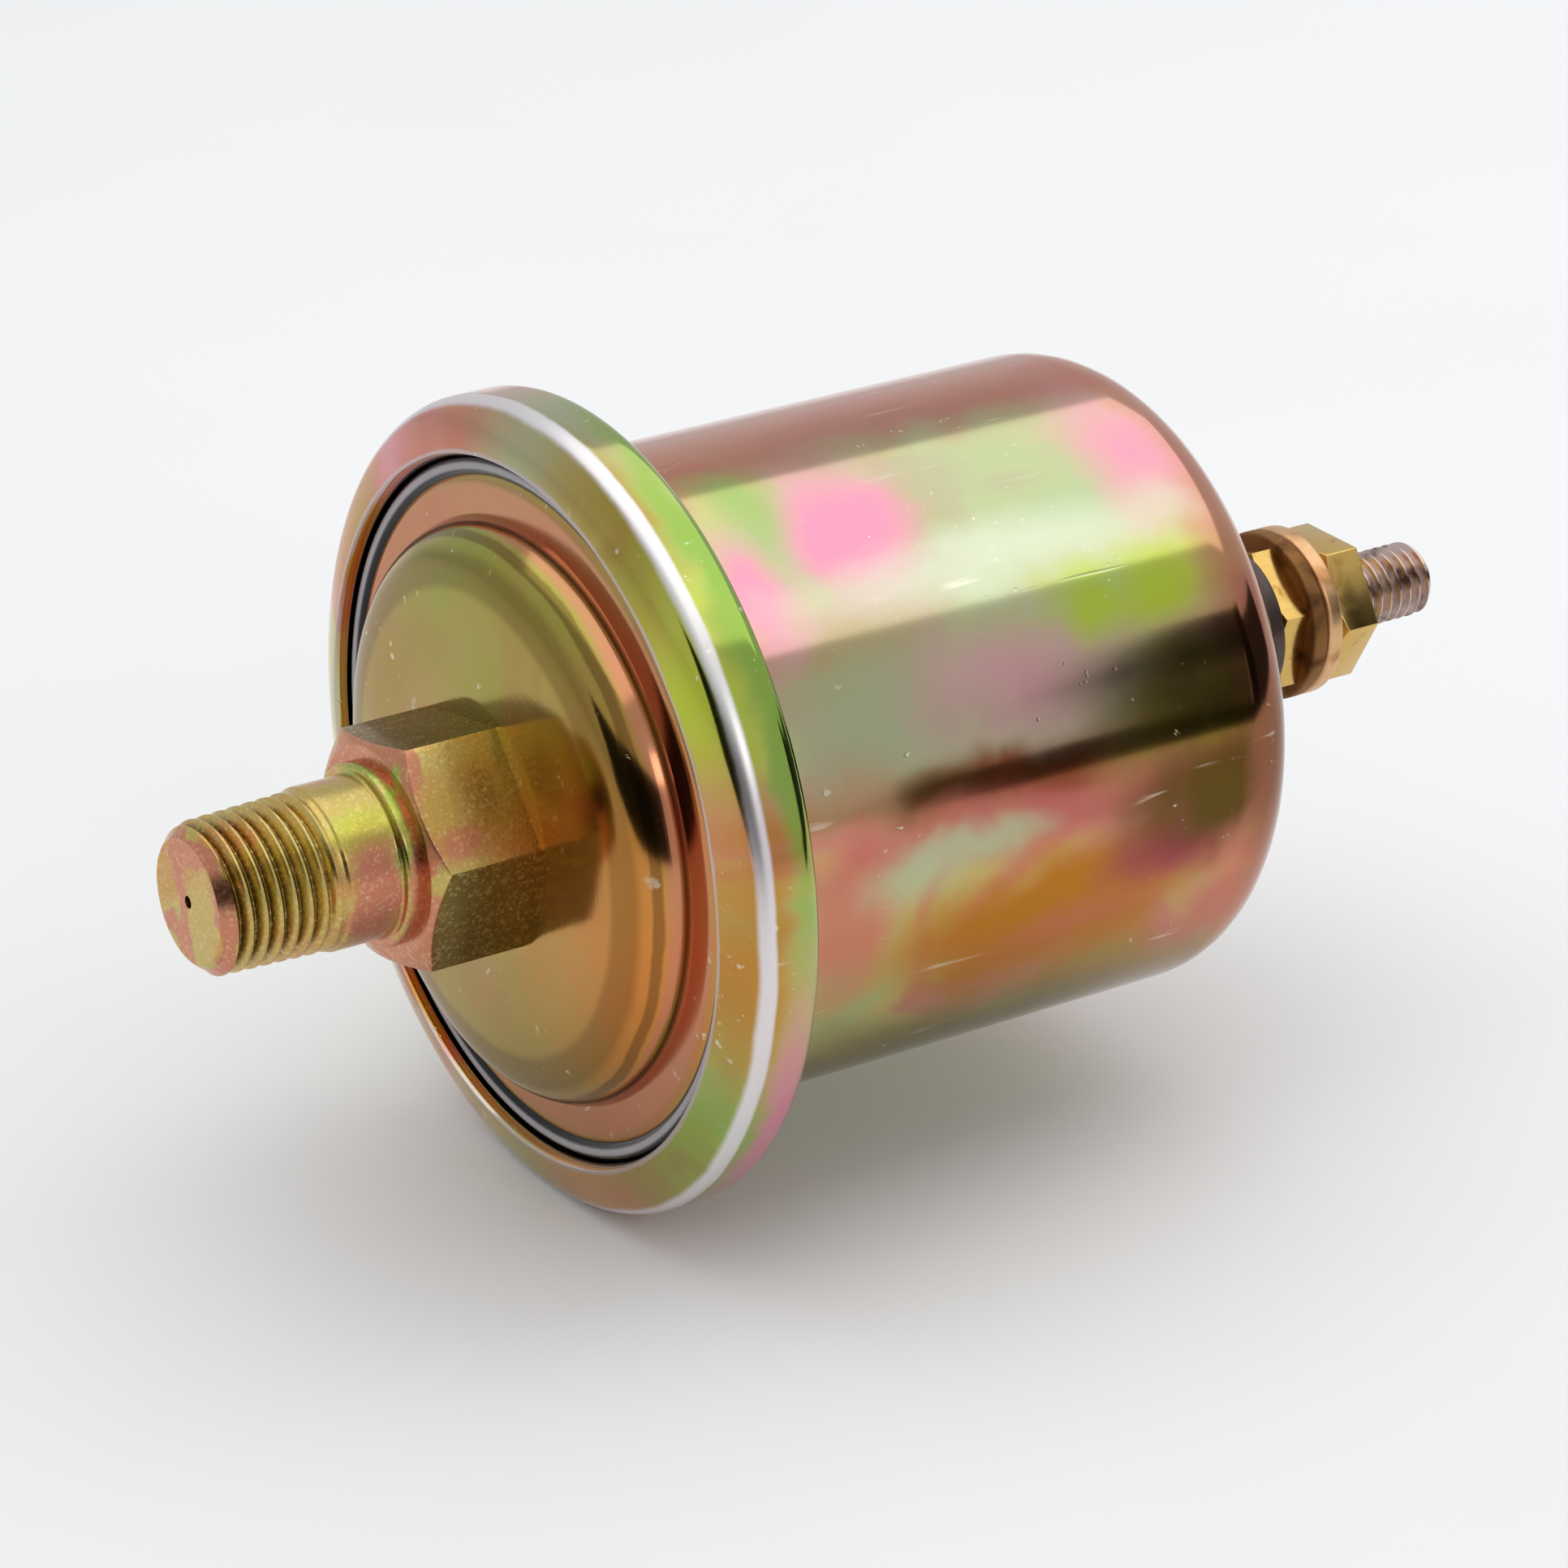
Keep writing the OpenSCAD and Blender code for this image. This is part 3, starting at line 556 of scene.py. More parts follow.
class Effects:
    """The node groups that the finishes share."""

    def __init__(self) -> None:
        """Builds every group once."""
        self.round_axis = self._round_axis()
        self.patch = self._patch()
        self.film = self._film()
        self.scuffs = self._scuffs()
        self.grain = self._grain()

    def _round_axis(self) -> bpy.types.NodeTree:
        """Makes the group that gives a point's place along and round the sender's axis.

        Returns:
            A group with Along and Radius in millimetres, and Angle in degrees: 0 at -Y,
            -90 at the top and 90 underneath.
        """
        bench, given, out = new_group(
            "RoundAxis",
            {"Vector": "Vector"},
            {"Along": "Float", "Angle": "Float", "Radius": "Float"},
        )
        split = bench.add("ShaderNodeSeparateXYZ")
        bench.put(split.inputs[0], given.outputs[0])
        x, y, z = split.outputs
        turn = bench.math(
            "ARCTAN2", bench.math("MULTIPLY", z, -1.0), bench.math("MULTIPLY", y, -1.0)
        )
        square = bench.math("ADD", bench.math("MULTIPLY", y, y), bench.math("MULTIPLY", z, z))
        bench.put(out.inputs["Along"], bench.math("MULTIPLY", x, 1 / MM))
        bench.put(out.inputs["Angle"], bench.math("DEGREES", turn))
        bench.put(
            out.inputs["Radius"], bench.math("MULTIPLY", bench.math("SQRT", square), 1 / MM)
        )
        return bench.tree

    def _patch(self) -> bpy.types.NodeTree:
        """Makes the group that tints a soft oval patch of a surface.

        Returns:
            A group that mixes Tint into Colour round a centre along and round the axis.
        """
        numbers = (
            "Along", "Angle", "Centre Along", "Centre Angle", "Half Length", "Half Angle",
            "Softness", "Strength",
        )
        bench, given, out = new_group(
            "TintPatch",
            {"Colour": "Color", "Tint": "Color", **{n: "Float" for n in numbers}},
            {"Colour": "Color"},
        )
        g = given.outputs
        u = bench.math(
            "DIVIDE", bench.math("SUBTRACT", g["Along"], g["Centre Along"]), g["Half Length"]
        )
        v = bench.math(
            "DIVIDE", bench.math("SUBTRACT", g["Angle"], g["Centre Angle"]), g["Half Angle"]
        )
        far = bench.math(
            "SQRT", bench.math("ADD", bench.math("MULTIPLY", u, u), bench.math("MULTIPLY", v, v))
        )
        inside = bench.math("DIVIDE", bench.math("SUBTRACT", 1.0, far), g["Softness"])
        mask = bench.math("MULTIPLY", bench.ease(inside, -1.0, 1.0), g["Strength"])
        bench.put(out.inputs[0], bench.mix(mask, g["Colour"], g["Tint"]))
        return bench.tree

    def _film(self) -> bpy.types.NodeTree:
        """Makes the group for the drifting colours of a chromate film.

        Returns:
            A group from Vector, Scale and Warmth to Colour.
        """
        bench, given, out = new_group(
            "ChromateFilm",
            {"Vector": "Vector", "Scale": "Float", "Warmth": "Float"},
            {"Colour": "Color", "Depth": "Float"},
        )
        g = given.outputs
        stretched = bench.stretched(g["Vector"], (1.0, 1.35, 1.35))
        drift = bench.noise(stretched, g["Scale"], 2.5, 0.7)
        level = bench.math("ADD", drift, bench.math("MULTIPLY", g["Warmth"], 0.2))
        colour = bench.ramp(
            level,
            [
                (0.24, linear(150, 172, 74)),
                (0.38, linear(176, 198, 136)),
                (0.47, linear(200, 190, 122)),
                (0.55, linear(204, 134, 124)),
                (0.64, linear(192, 124, 62)),
                (0.74, linear(172, 140, 64)),
                (0.86, linear(186, 84, 106)),
            ],
        )
        bench.put(out.inputs["Colour"], colour)
        bench.put(out.inputs["Depth"], drift)
        return bench.tree

    def _scuffs(self) -> bpy.types.NodeTree:
        """Makes the group for fine scratches and flecks.

        Returns:
            A group from Vector and Amount to Mask and Height.
        """
        bench, given, out = new_group(
            "Scuffs",
            {"Vector": "Vector", "Amount": "Float"},
            {"Mask": "Float", "Height": "Float"},
        )
        vector = given.outputs["Vector"]
        marks = []
        for turn, scale in (((0.3, 0.9, 0.4), (40, 700, 700)), ((1.1, 0.2, 0.8), (70, 900, 600))):
            node = bench.add("ShaderNodeMapping")
            bench.put(node.inputs["Vector"], vector)
            node.inputs["Rotation"].default_value = turn
            node.inputs["Scale"].default_value = scale
            fine = bench.noise(node.outputs[0], 1.0, 3.0)
            marks.append(bench.ease(fine, 0.69, 0.76))
        fleck = bench.ease(bench.noise(vector, 1300.0, 3.0), 0.68, 0.76)
        zone = bench.ease(bench.noise(vector, 110.0, 2.0), 0.44, 0.60)
        worn = bench.math("MAXIMUM", bench.math("MAXIMUM", *marks), fleck)
        mask = bench.math(
            "MULTIPLY", bench.math("MULTIPLY", worn, zone), given.outputs["Amount"]
        )
        bench.put(out.inputs["Mask"], mask)
        bench.put(out.inputs["Height"], bench.math("MULTIPLY", mask, -1.0))
        return bench.tree

    def _grain(self) -> bpy.types.NodeTree:
        """Makes the group for a crystalline grain, as on etched or cast faces.

        Returns:
            A group from Vector and Scale to Mask, Height and Sparkle.
        """
        bench, given, out = new_group(
            "Grain",
            {"Vector": "Vector", "Scale": "Float"},
            {"Mask": "Float", "Height": "Float", "Sparkle": "Float"},
        )
        g = given.outputs
        cells = bench.add("ShaderNodeTexVoronoi")
        bench.put(cells.inputs["Vector"], g["Vector"])
        bench.put(cells.inputs["Scale"], g["Scale"])
        tone = bench.add("ShaderNodeSeparateColor")
        bench.put(tone.inputs[0], cells.outputs["Color"])
        rough = bench.noise(g["Vector"], bench.math("MULTIPLY", g["Scale"], 0.6), 4.0)
        bench.put(out.inputs["Mask"], rough)
        bench.put(out.inputs["Height"], bench.math("ADD", rough, tone.outputs[0]))
        bench.put(out.inputs["Sparkle"], bench.ease(tone.outputs[1], 0.72, 0.95))
        return bench.tree


class Tint(Enum):
    """Colours that the chromate film takes, and the tints that the finishes paint as shade, reflections
    and highlights.
    """

    SALMON = linear(200, 124, 104)
    ROSE = linear(184, 96, 92)
    PINK = linear(222, 142, 166)
    CORAL = linear(204, 108, 98)
    MAGENTA = linear(170, 70, 92)
    PALE_GREEN = linear(164, 182, 142)
    GREEN = linear(136, 172, 74)
    SAGE = linear(176, 190, 150)
    CREAM = linear(202, 210, 184)
    CHARTREUSE = linear(178, 200, 50)
    AMBER = linear(184, 120, 38)
    ORANGE = linear(222, 128, 62)
    OLIVE = linear(156, 136, 56)
    DARK_OLIVE = linear(98, 80, 30)
    RUST = linear(132, 66, 34)
    GOLD = linear(200, 162, 84)
    STRAW = linear(168, 138, 74)
    SILVER = linear(232, 228, 232)
    LILAC = linear(190, 176, 176)
    BROWN = linear(88, 58, 22)


@dataclass(frozen=True)
class Patch:
    """A tinted patch, in millimetres along the axis and degrees round it; the finishes use it for the
    film's colours and for painted shade, reflections and highlights.
    """

    tint: Tint
    along: float
    angle: float
    half_length: float
    half_angle: float
    softness: float = 0.35
    strength: float = 1.0


@dataclass(frozen=True)
class Band:
    """A narrow band at a place along the axis or at a radius, in millimetres.

    It shows only in front of one place along the axis and outside one radius.
    """

    tint: Tint
    measure: str
    middle: float
    half: float
    strength: float = 0.85
    dull: float = 0.0
    before: float = 100.0
    outside: float = 0.0


@dataclass(frozen=True)
class Finish:
    """A finish with a name, and the helpers that its material is built with."""

    name: str
    effects: Effects

    def start(self) -> tuple[bpy.types.Material, Bench, bpy.types.Node, bpy.types.NodeSocket]:
        """Makes an empty material.

        Returns:
            The material, a bench for it, its Principled shader and its Object coordinates.
        """
        material = bpy.data.materials.new(self.name)
        material.use_nodes = True
        tree = material.node_tree
        bench = Bench(tree)
        shader = next(n for n in tree.nodes if n.type == "BSDF_PRINCIPLED")
        place = bench.add("ShaderNodeTexCoord").outputs["Object"]
        return material, bench, shader, place

    @staticmethod
    def bump(
        bench: Bench,
        shader: bpy.types.Node,
        height: bpy.types.NodeSocket,
        depth: float,
        strength: float = 1.0,
    ) -> None:
        """Adds a bump of a depth in metres to the shader's normal."""
        node = bench.add("ShaderNodeBump")
        node.inputs["Strength"].default_value = strength
        node.inputs["Distance"].default_value = depth
        bench.put(node.inputs["Height"], height)
        bench.put(shader.inputs["Normal"], node.outputs[0])


@dataclass(frozen=True)
class Chromate(Finish):
    """Yellow chromate on zinc plate: metal under a film whose colour drifts.

    Attributes:
        patches: Tinted patches laid over the drifting film, painted shade and reflections among them.
        base: Colour that the film is pulled towards.
        pull: How far it is pulled, from 0 to 1.
        roughness: Lowest and highest roughness.
        soften: Widening of the patches' soft edges.
        painted_groove_shade: Radii between which painted shade darkens a thread's grooves, in
            millimetres.
        bands: Narrow bands round the axis, painted shade and highlights among them.
        shade: Name of a face attribute; where it is 1, painted shade darkens the film.
        warmth: Shift of the film's colours towards orange and rose.
        drift_scale: Scale of the film's patches.
        ripple: Depth of the sheet's slight waves, in metres.
        grain: Depth of a crystalline grain, in metres.
        scuffs: Amount of fine scratches.
        marks: Depth of turning marks, in metres.
    """

    patches: tuple[Patch, ...] = ()
    base: Tint = Tint.GOLD
    pull: float = 0.35
    roughness: Point = (0.12, 0.24)
    soften: float = 2.0
    painted_groove_shade: tuple[float, float] | None = None
    bands: tuple[Band, ...] = ()
    shade: str = ""
    warmth: float = 0.0
    drift_scale: float = 70.0
    ripple: float = 0.0
    grain: float = 0.0
    scuffs: float = 1.0
    marks: float = 0.0

    def build(self) -> bpy.types.Material:
        """Builds the material."""
        material, bench, shader, place = self.start()
        fx = self.effects
        film = bench.group(fx.film, Vector=place, Scale=self.drift_scale, Warmth=self.warmth)
        colour = bench.mix(self.pull, film.outputs["Colour"], self.base.value)
        where = bench.group(fx.round_axis, Vector=place)
        shift = bench.noise(place, 130.0, 3.0, 0.4)
        shift2 = bench.noise(place, 95.0, 3.0, 0.6)
        along = bench.math("ADD", where.outputs["Along"], bench.scaled(shift, -3.2, 3.2))
        angle = bench.math("ADD", where.outputs["Angle"], bench.scaled(shift2, -9.0, 9.0))
        for patch in self.patches:
            colour = bench.group(
                fx.patch,
                Colour=colour,
                Tint=patch.tint.value,
                Along=along,
                Angle=angle,
                Centre_Along=patch.along,
                Centre_Angle=patch.angle,
                Half_Length=patch.half_length,
                Half_Angle=patch.half_angle,
                Softness=patch.softness * self.soften,
                Strength=patch.strength,
            ).outputs[0]
        dulled: object = 0.0
        for band in self.bands:
            uneven = bench.scaled(bench.noise(place, 240.0, 4.0), -0.16, 0.16)
            off = bench.math("SUBTRACT", where.outputs[band.measure], band.middle)
            off = bench.math("ABSOLUTE", bench.math("ADD", off, uneven))
            edge = bench.math("SUBTRACT", 1.0, bench.ease(off, band.half * 0.5, band.half))
            near = bench.math("LESS_THAN", where.outputs["Along"], band.before)
            wide = bench.math("GREATER_THAN", where.outputs["Radius"], band.outside)
            edge = bench.math("MULTIPLY", edge, bench.math("MULTIPLY", near, wide))
            colour = bench.mix(
                bench.math("MULTIPLY", edge, band.strength), colour, band.tint.value
            )
            dulled = bench.math("ADD", dulled, bench.math("MULTIPLY", edge, band.dull))
        # Painted shade: a clouded dark olive on the faces that the shade attribute marks.
        if self.shade:
            marked = bench.add("ShaderNodeAttribute", attribute_name=self.shade)
            cloud = bench.scaled(bench.noise(place, 320.0, 3.0), 0.62, 0.95)
            shade = bench.math("MULTIPLY", marked.outputs["Fac"], cloud)
            colour = bench.mix(shade, colour, Tint.DARK_OLIVE.value)
        # Painted shade: brown in the thread's grooves on the stem.
        if self.painted_groove_shade:
            deep = bench.math("SUBTRACT", 1.0, bench.ease(where.outputs["Radius"], *self.painted_groove_shade))
            stem = bench.math("LESS_THAN", where.outputs["Along"], -4.6)
            stem = bench.math("MULTIPLY", stem, bench.math("GREATER_THAN", where.outputs["Along"], -12.0))
            shade = bench.math("MULTIPLY", bench.math("MULTIPLY", deep, stem), 0.8)
            colour = bench.mix(shade, colour, Tint.BROWN.value)
        scuffs = bench.group(fx.scuffs, Vector=place, Amount=self.scuffs)
        pale = linear(236, 228, 204)
        colour = bench.mix(
            bench.math("MULTIPLY", scuffs.outputs["Mask"], 0.55), colour, pale
        )
        low, high = self.roughness
        rough = bench.scaled(bench.noise(place, 260.0, 4.0), low, high)
        rough = bench.math("ADD", rough, dulled)
        height = scuffs.outputs["Height"]
        height = bench.math("MULTIPLY", height, 0.6e-5)
        if self.ripple:
            wave = bench.noise(bench.stretched(place, (0.6, 1, 1)), 55.0, 1.0)
            height = bench.math("ADD", height, bench.math("MULTIPLY", wave, self.ripple))
        if self.grain:
            grain = bench.group(fx.grain, Vector=place, Scale=5200.0)
            height = bench.math(
                "ADD", height, bench.math("MULTIPLY", grain.outputs["Height"], self.grain)
            )
            rough = bench.math(
                "ADD", rough, bench.scaled(grain.outputs["Mask"], -0.05, 0.12)
            )
            colour = bench.mix(
                bench.math("MULTIPLY", grain.outputs["Sparkle"], 0.22), colour,
                linear(250, 226, 160),
            )
        if self.marks:
            rings = bench.noise(
                self._ring_vector(bench, where), 1.0, 3.0
            )
            height = bench.math("ADD", height, bench.math("MULTIPLY", rings, self.marks))
        bench.put(shader.inputs["Base Color"], colour)
        bench.put(shader.inputs["Roughness"], rough)
        shader.inputs["Metallic"].default_value = 1.0
        self.bump(bench, shader, height, 1.0)
        return material

    @staticmethod
    def _ring_vector(bench: Bench, where: bpy.types.Node) -> bpy.types.NodeSocket:
        """Returns coordinates that are fine along the radius and slow round the axis."""
        node = bench.add("ShaderNodeCombineXYZ")
        bench.put(node.inputs[0], bench.math("MULTIPLY", where.outputs["Radius"], 9.0))
        bench.put(node.inputs[1], bench.math("MULTIPLY", where.outputs["Along"], 9.0))
        swing = bench.math("ABSOLUTE", where.outputs["Angle"])
        bench.put(node.inputs[2], bench.math("MULTIPLY", swing, 0.02))
        return node.outputs[0]


@dataclass(frozen=True)
class PlainMetal(Finish):
    """A plain metal with machining grain, dull spots and a darker tarnish.

    Attributes:
        colour: Clean metal.
        tarnish: Tarnished metal.
        roughness: Lowest and highest roughness.
        grain: Stretch of the machining grain along X, Y and Z.
        depth: Depth of the grain, in metres.
        spots: Share of the tarnish, from 0 to 1.
    """

    colour: Colour = (0.6, 0.6, 0.6)
    tarnish: Colour = (0.3, 0.3, 0.3)
    roughness: Point = (0.2, 0.4)
    grain: tuple[float, float, float] = (1.0, 1.0, 1.0)
    depth: float = 1e-6
    spots: float = 0.5

    def build(self) -> bpy.types.Material:
        """Builds the material."""
        material, bench, shader, place = self.start()
        cloud = bench.noise(place, 420.0, 4.0, 0.5)
        dull = bench.ease(cloud, 0.62 - 0.3 * self.spots, 0.72)
        scuffs = bench.group(self.effects.scuffs, Vector=place, Amount=1.0)
        fine = bench.noise(bench.stretched(place, self.grain), 1800.0, 3.0)
        colour = bench.mix(dull, self.colour, self.tarnish)
        colour = bench.mix(
            bench.math("MULTIPLY", fine, 0.18), colour, (0.05, 0.04, 0.03)
        )
        low, high = self.roughness
        rough = bench.scaled(bench.math("MULTIPLY", cloud, fine), low, high * 1.6)
        bench.put(shader.inputs["Base Color"], colour)
        bench.put(shader.inputs["Roughness"], rough)
        shader.inputs["Metallic"].default_value = 1.0
        height = bench.math("ADD", fine, scuffs.outputs["Height"])
        self.bump(bench, shader, height, self.depth)
        return material


@dataclass(frozen=True)
class Moulded(Finish):
    """A moulded rubber, phenolic or laminate, with mottle and a fine skin.

    Attributes:
        colour: Main colour.
        second: Colour of the mottle.
        roughness: Lowest and highest roughness.
        scale: Stretch of the mottle along X, Y and Z.
        depth: Depth of the skin's texture, in metres.
        coat: Weight of a clear coat.
        shine: Strength of the surface's own reflection.
        crest: Radius and half width of a painted highlight line round the axis, in millimetres.
    """

    colour: Colour = (0.1, 0.1, 0.1)
    second: Colour = (0.05, 0.05, 0.05)
    roughness: Point = (0.3, 0.5)
    scale: tuple[float, float, float] = (1.0, 1.0, 1.0)
    depth: float = 2e-6
    coat: float = 0.0
    shine: float = 0.5
    crest: tuple[float, float] | None = None

    def build(self) -> bpy.types.Material:
        """Builds the material."""
        material, bench, shader, place = self.start()
        mottle = bench.noise(bench.stretched(place, self.scale), 500.0, 5.0, 0.6)
        skin = bench.noise(place, 2400.0, 3.0)
        scuffs = bench.group(self.effects.scuffs, Vector=place, Amount=0.7)
        colour = bench.mix(bench.ease(mottle, 0.35, 0.65), self.colour, self.second)
        colour = bench.mix(
            bench.math("MULTIPLY", scuffs.outputs["Mask"], 0.3), colour, (0.4, 0.4, 0.4)
        )
        # Painted highlight: a pale, patchy line round the axis at the crest's radius.
        if self.crest:
            middle, half = self.crest
            radius = bench.group(self.effects.round_axis, Vector=place).outputs["Radius"]
            off = bench.math("ABSOLUTE", bench.math("SUBTRACT", radius, middle))
            line = bench.math("SUBTRACT", 1.0, bench.ease(off, half * 0.3, half))
            patchy = bench.scaled(bench.noise(place, 160.0, 3.0), 0.55, 1.0)
            colour = bench.mix(bench.math("MULTIPLY", line, patchy), colour, (0.5, 0.47, 0.5))
        low, high = self.roughness
        bench.put(shader.inputs["Base Color"], colour)
        bench.put(shader.inputs["Roughness"], bench.scaled(mottle, low, high))
        shader.inputs["Coat Weight"].default_value = self.coat
        shader.inputs["Coat Roughness"].default_value = 0.12
        shader.inputs["Specular IOR Level"].default_value = self.shine
        self.bump(bench, shader, bench.math("ADD", skin, scuffs.outputs["Height"]), self.depth)
        return material


# Pieces


def finish_piece(
    piece: bpy.types.Object,
    material: bpy.types.Material,
    node: str,
) -> bpy.types.Object:
    """Dresses a piece, lets it ride on the housing and stand for its CAD node.

    Args:
        piece: The finished piece.
        material: Its material.
        node: The CAD node that it replaces.

    Returns:
        The piece.
    """
    piece.data.materials.clear()
    piece.data.materials.append(material)
    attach(piece, "housing")
    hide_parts(node)
    log.info("%s: %d faces", piece.name, len(piece.data.polygons))
    return piece


def span(node: str) -> Point:
    """Returns where a CAD node begins and ends along the axis, in millimetres."""
    low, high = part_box(node)
    return low.x / MM, high.x / MM


@dataclass
class Fitting:
    """The turned port fitting: threaded stem, neck, collar, hexagon and staked spigot."""

    effects: Effects
    thread_length: float = 8.2
    thread_r: float = 5.0
    pitch: float = 1.0
    thread_depth: float = 0.56
    taper: float = 1 / 16
    nose: float = 0.8
    neck_r: float = 5.15
    collar_r: float = 5.8
    collar_length: float = 1.0
    flats: float = 14.0
    hex_length: float = 8.0
    hex_chamfer: float = 0.7
    corner_at: float = -10.0
    spigot_r: float = 3.95
    plate: float = 1.0
    stake_r: float = 5.0
    orifice_r: float = 0.4
    orifice_length: float = 2.0
    passage_r: float = 1.5

    def material(self) -> bpy.types.Material:
        """Builds the fitting's finish: gold chromate with grain on its faces, painted shade on the
        hexagon's upper and lower flats and in the thread's grooves, and painted highlights on the neck
        and the front flat.
        """
        patches = (
            Patch(Tint.SALMON, -12.9, 0, 0.34, 400, 0.2, 0.85),
            Patch(Tint.SALMON, -2.6, 8, 1.6, 55, 0.4, 0.9),
            # Painted highlight: a chartreuse band along the neck's upper side.
            Patch(Tint.CHARTREUSE, -3.0, -48, 2.2, 14, 0.6, 0.5),
            Patch(Tint.GREEN, -0.9, -60, 0.5, 60, 0.5, 0.7),
            Patch(Tint.SALMON, 0.0, 0, 0.75, 400, 0.2, 0.8),
            # Painted light: brighter gold on the hexagon's front flat, between the two shaded flats.
            Patch(Tint.GOLD, 4.0, -40, 4.2, 21, 0.4, 0.85),
            Patch(Tint.RUST, 4.6, -42, 1.1, 14, 0.6, 0.4),
            Patch(Tint.CORAL, 2.6, -22, 1.6, 9, 0.6, 0.6),
        )
        return Chromate(
            "fitting_chromate",
            self.effects,
            patches=patches,
            base=Tint.GOLD,
            pull=0.72,
            soften=1.0,
            roughness=(0.16, 0.3),
            painted_groove_shade=(4.3, 4.72),
            shade="painted_shade_flats",
            drift_scale=150.0,
            grain=0.7e-5,
            scuffs=1.0,
        ).build()

    def build(self) -> bpy.types.Object:
        """Builds the fitting as one closed solid.

        Returns:
            The fitting, in place of its CAD node.
        """
        tip, back = span("pressure_fitting")
        stem_end = tip + self.thread_length
        thread = Thread(
            tip, stem_end, self.thread_r, self.pitch, self.thread_depth,
            taper=self.taper, nose=self.nose, run_out=1.3 * self.pitch,
        )
        piece = thread.build("port_fitting")
        body = rounded(
            [
                Corner(stem_end - 0.4, 0.0),
                Corner(stem_end - 0.4, self.neck_r - 0.45, 0.0),
                Corner(stem_end + 0.15, self.neck_r, 0.25),
                Corner(-self.collar_length, self.neck_r, 0.18),
                Corner(-self.collar_length, self.collar_r, 0.28),
                Corner(0.35, self.collar_r),
                Corner(self.hex_length - 1, self.spigot_r),
                Corner(self.hex_length + self.plate, self.spigot_r),
                Corner(self.hex_length + self.plate, self.stake_r, 0.15),
                Corner(back, self.stake_r - 0.4, 0.15),
                Corner(back, 0.0),
            ]
        )
        combine(piece, turned("body", body, 128), "UNION")
        hexagon_part = chamfered_hexagon(
            "hexagon", 0.0, self.hex_length, self.flats, self.corner_at,
            (self.hex_chamfer, 0.0),
        )
        combine(piece, hexagon_part, "UNION")
        bore = [
            (tip - 1, 0.0),
            (tip - 1, self.orifice_r),
            (tip + self.orifice_length, self.orifice_r),
            (tip + self.orifice_length, self.passage_r),
            (back + 1, self.passage_r),
            (back + 1, 0.0),
        ]
        combine(piece, turned("bore", bore, 48), "DIFFERENCE")
        smooth(piece, 26)
        self.mark_shaded_flats(piece)
        return finish_piece(piece, self.material(), "pressure_fitting")

    def mark_shaded_flats(self, piece: bpy.types.Object) -> None:
        """Marks the upper and lower flats of the hexagon, which get painted shade."""
        marks = piece.data.attributes.new("painted_shade_flats", "FLOAT", "FACE")
        for face, mark in zip(piece.data.polygons, marks.data):
            angle = math.degrees(math.atan2(face.normal.z, face.normal.y)) % 360
            reach = math.hypot(face.center.y, face.center.z) / MM
            is_flat = abs(face.normal.x) < 0.1 and reach > self.collar_r + 0.4
            near = min(abs(angle - 80), abs(angle - 200))
            mark.value = float(is_flat and 0 < face.center.x and near < 12)


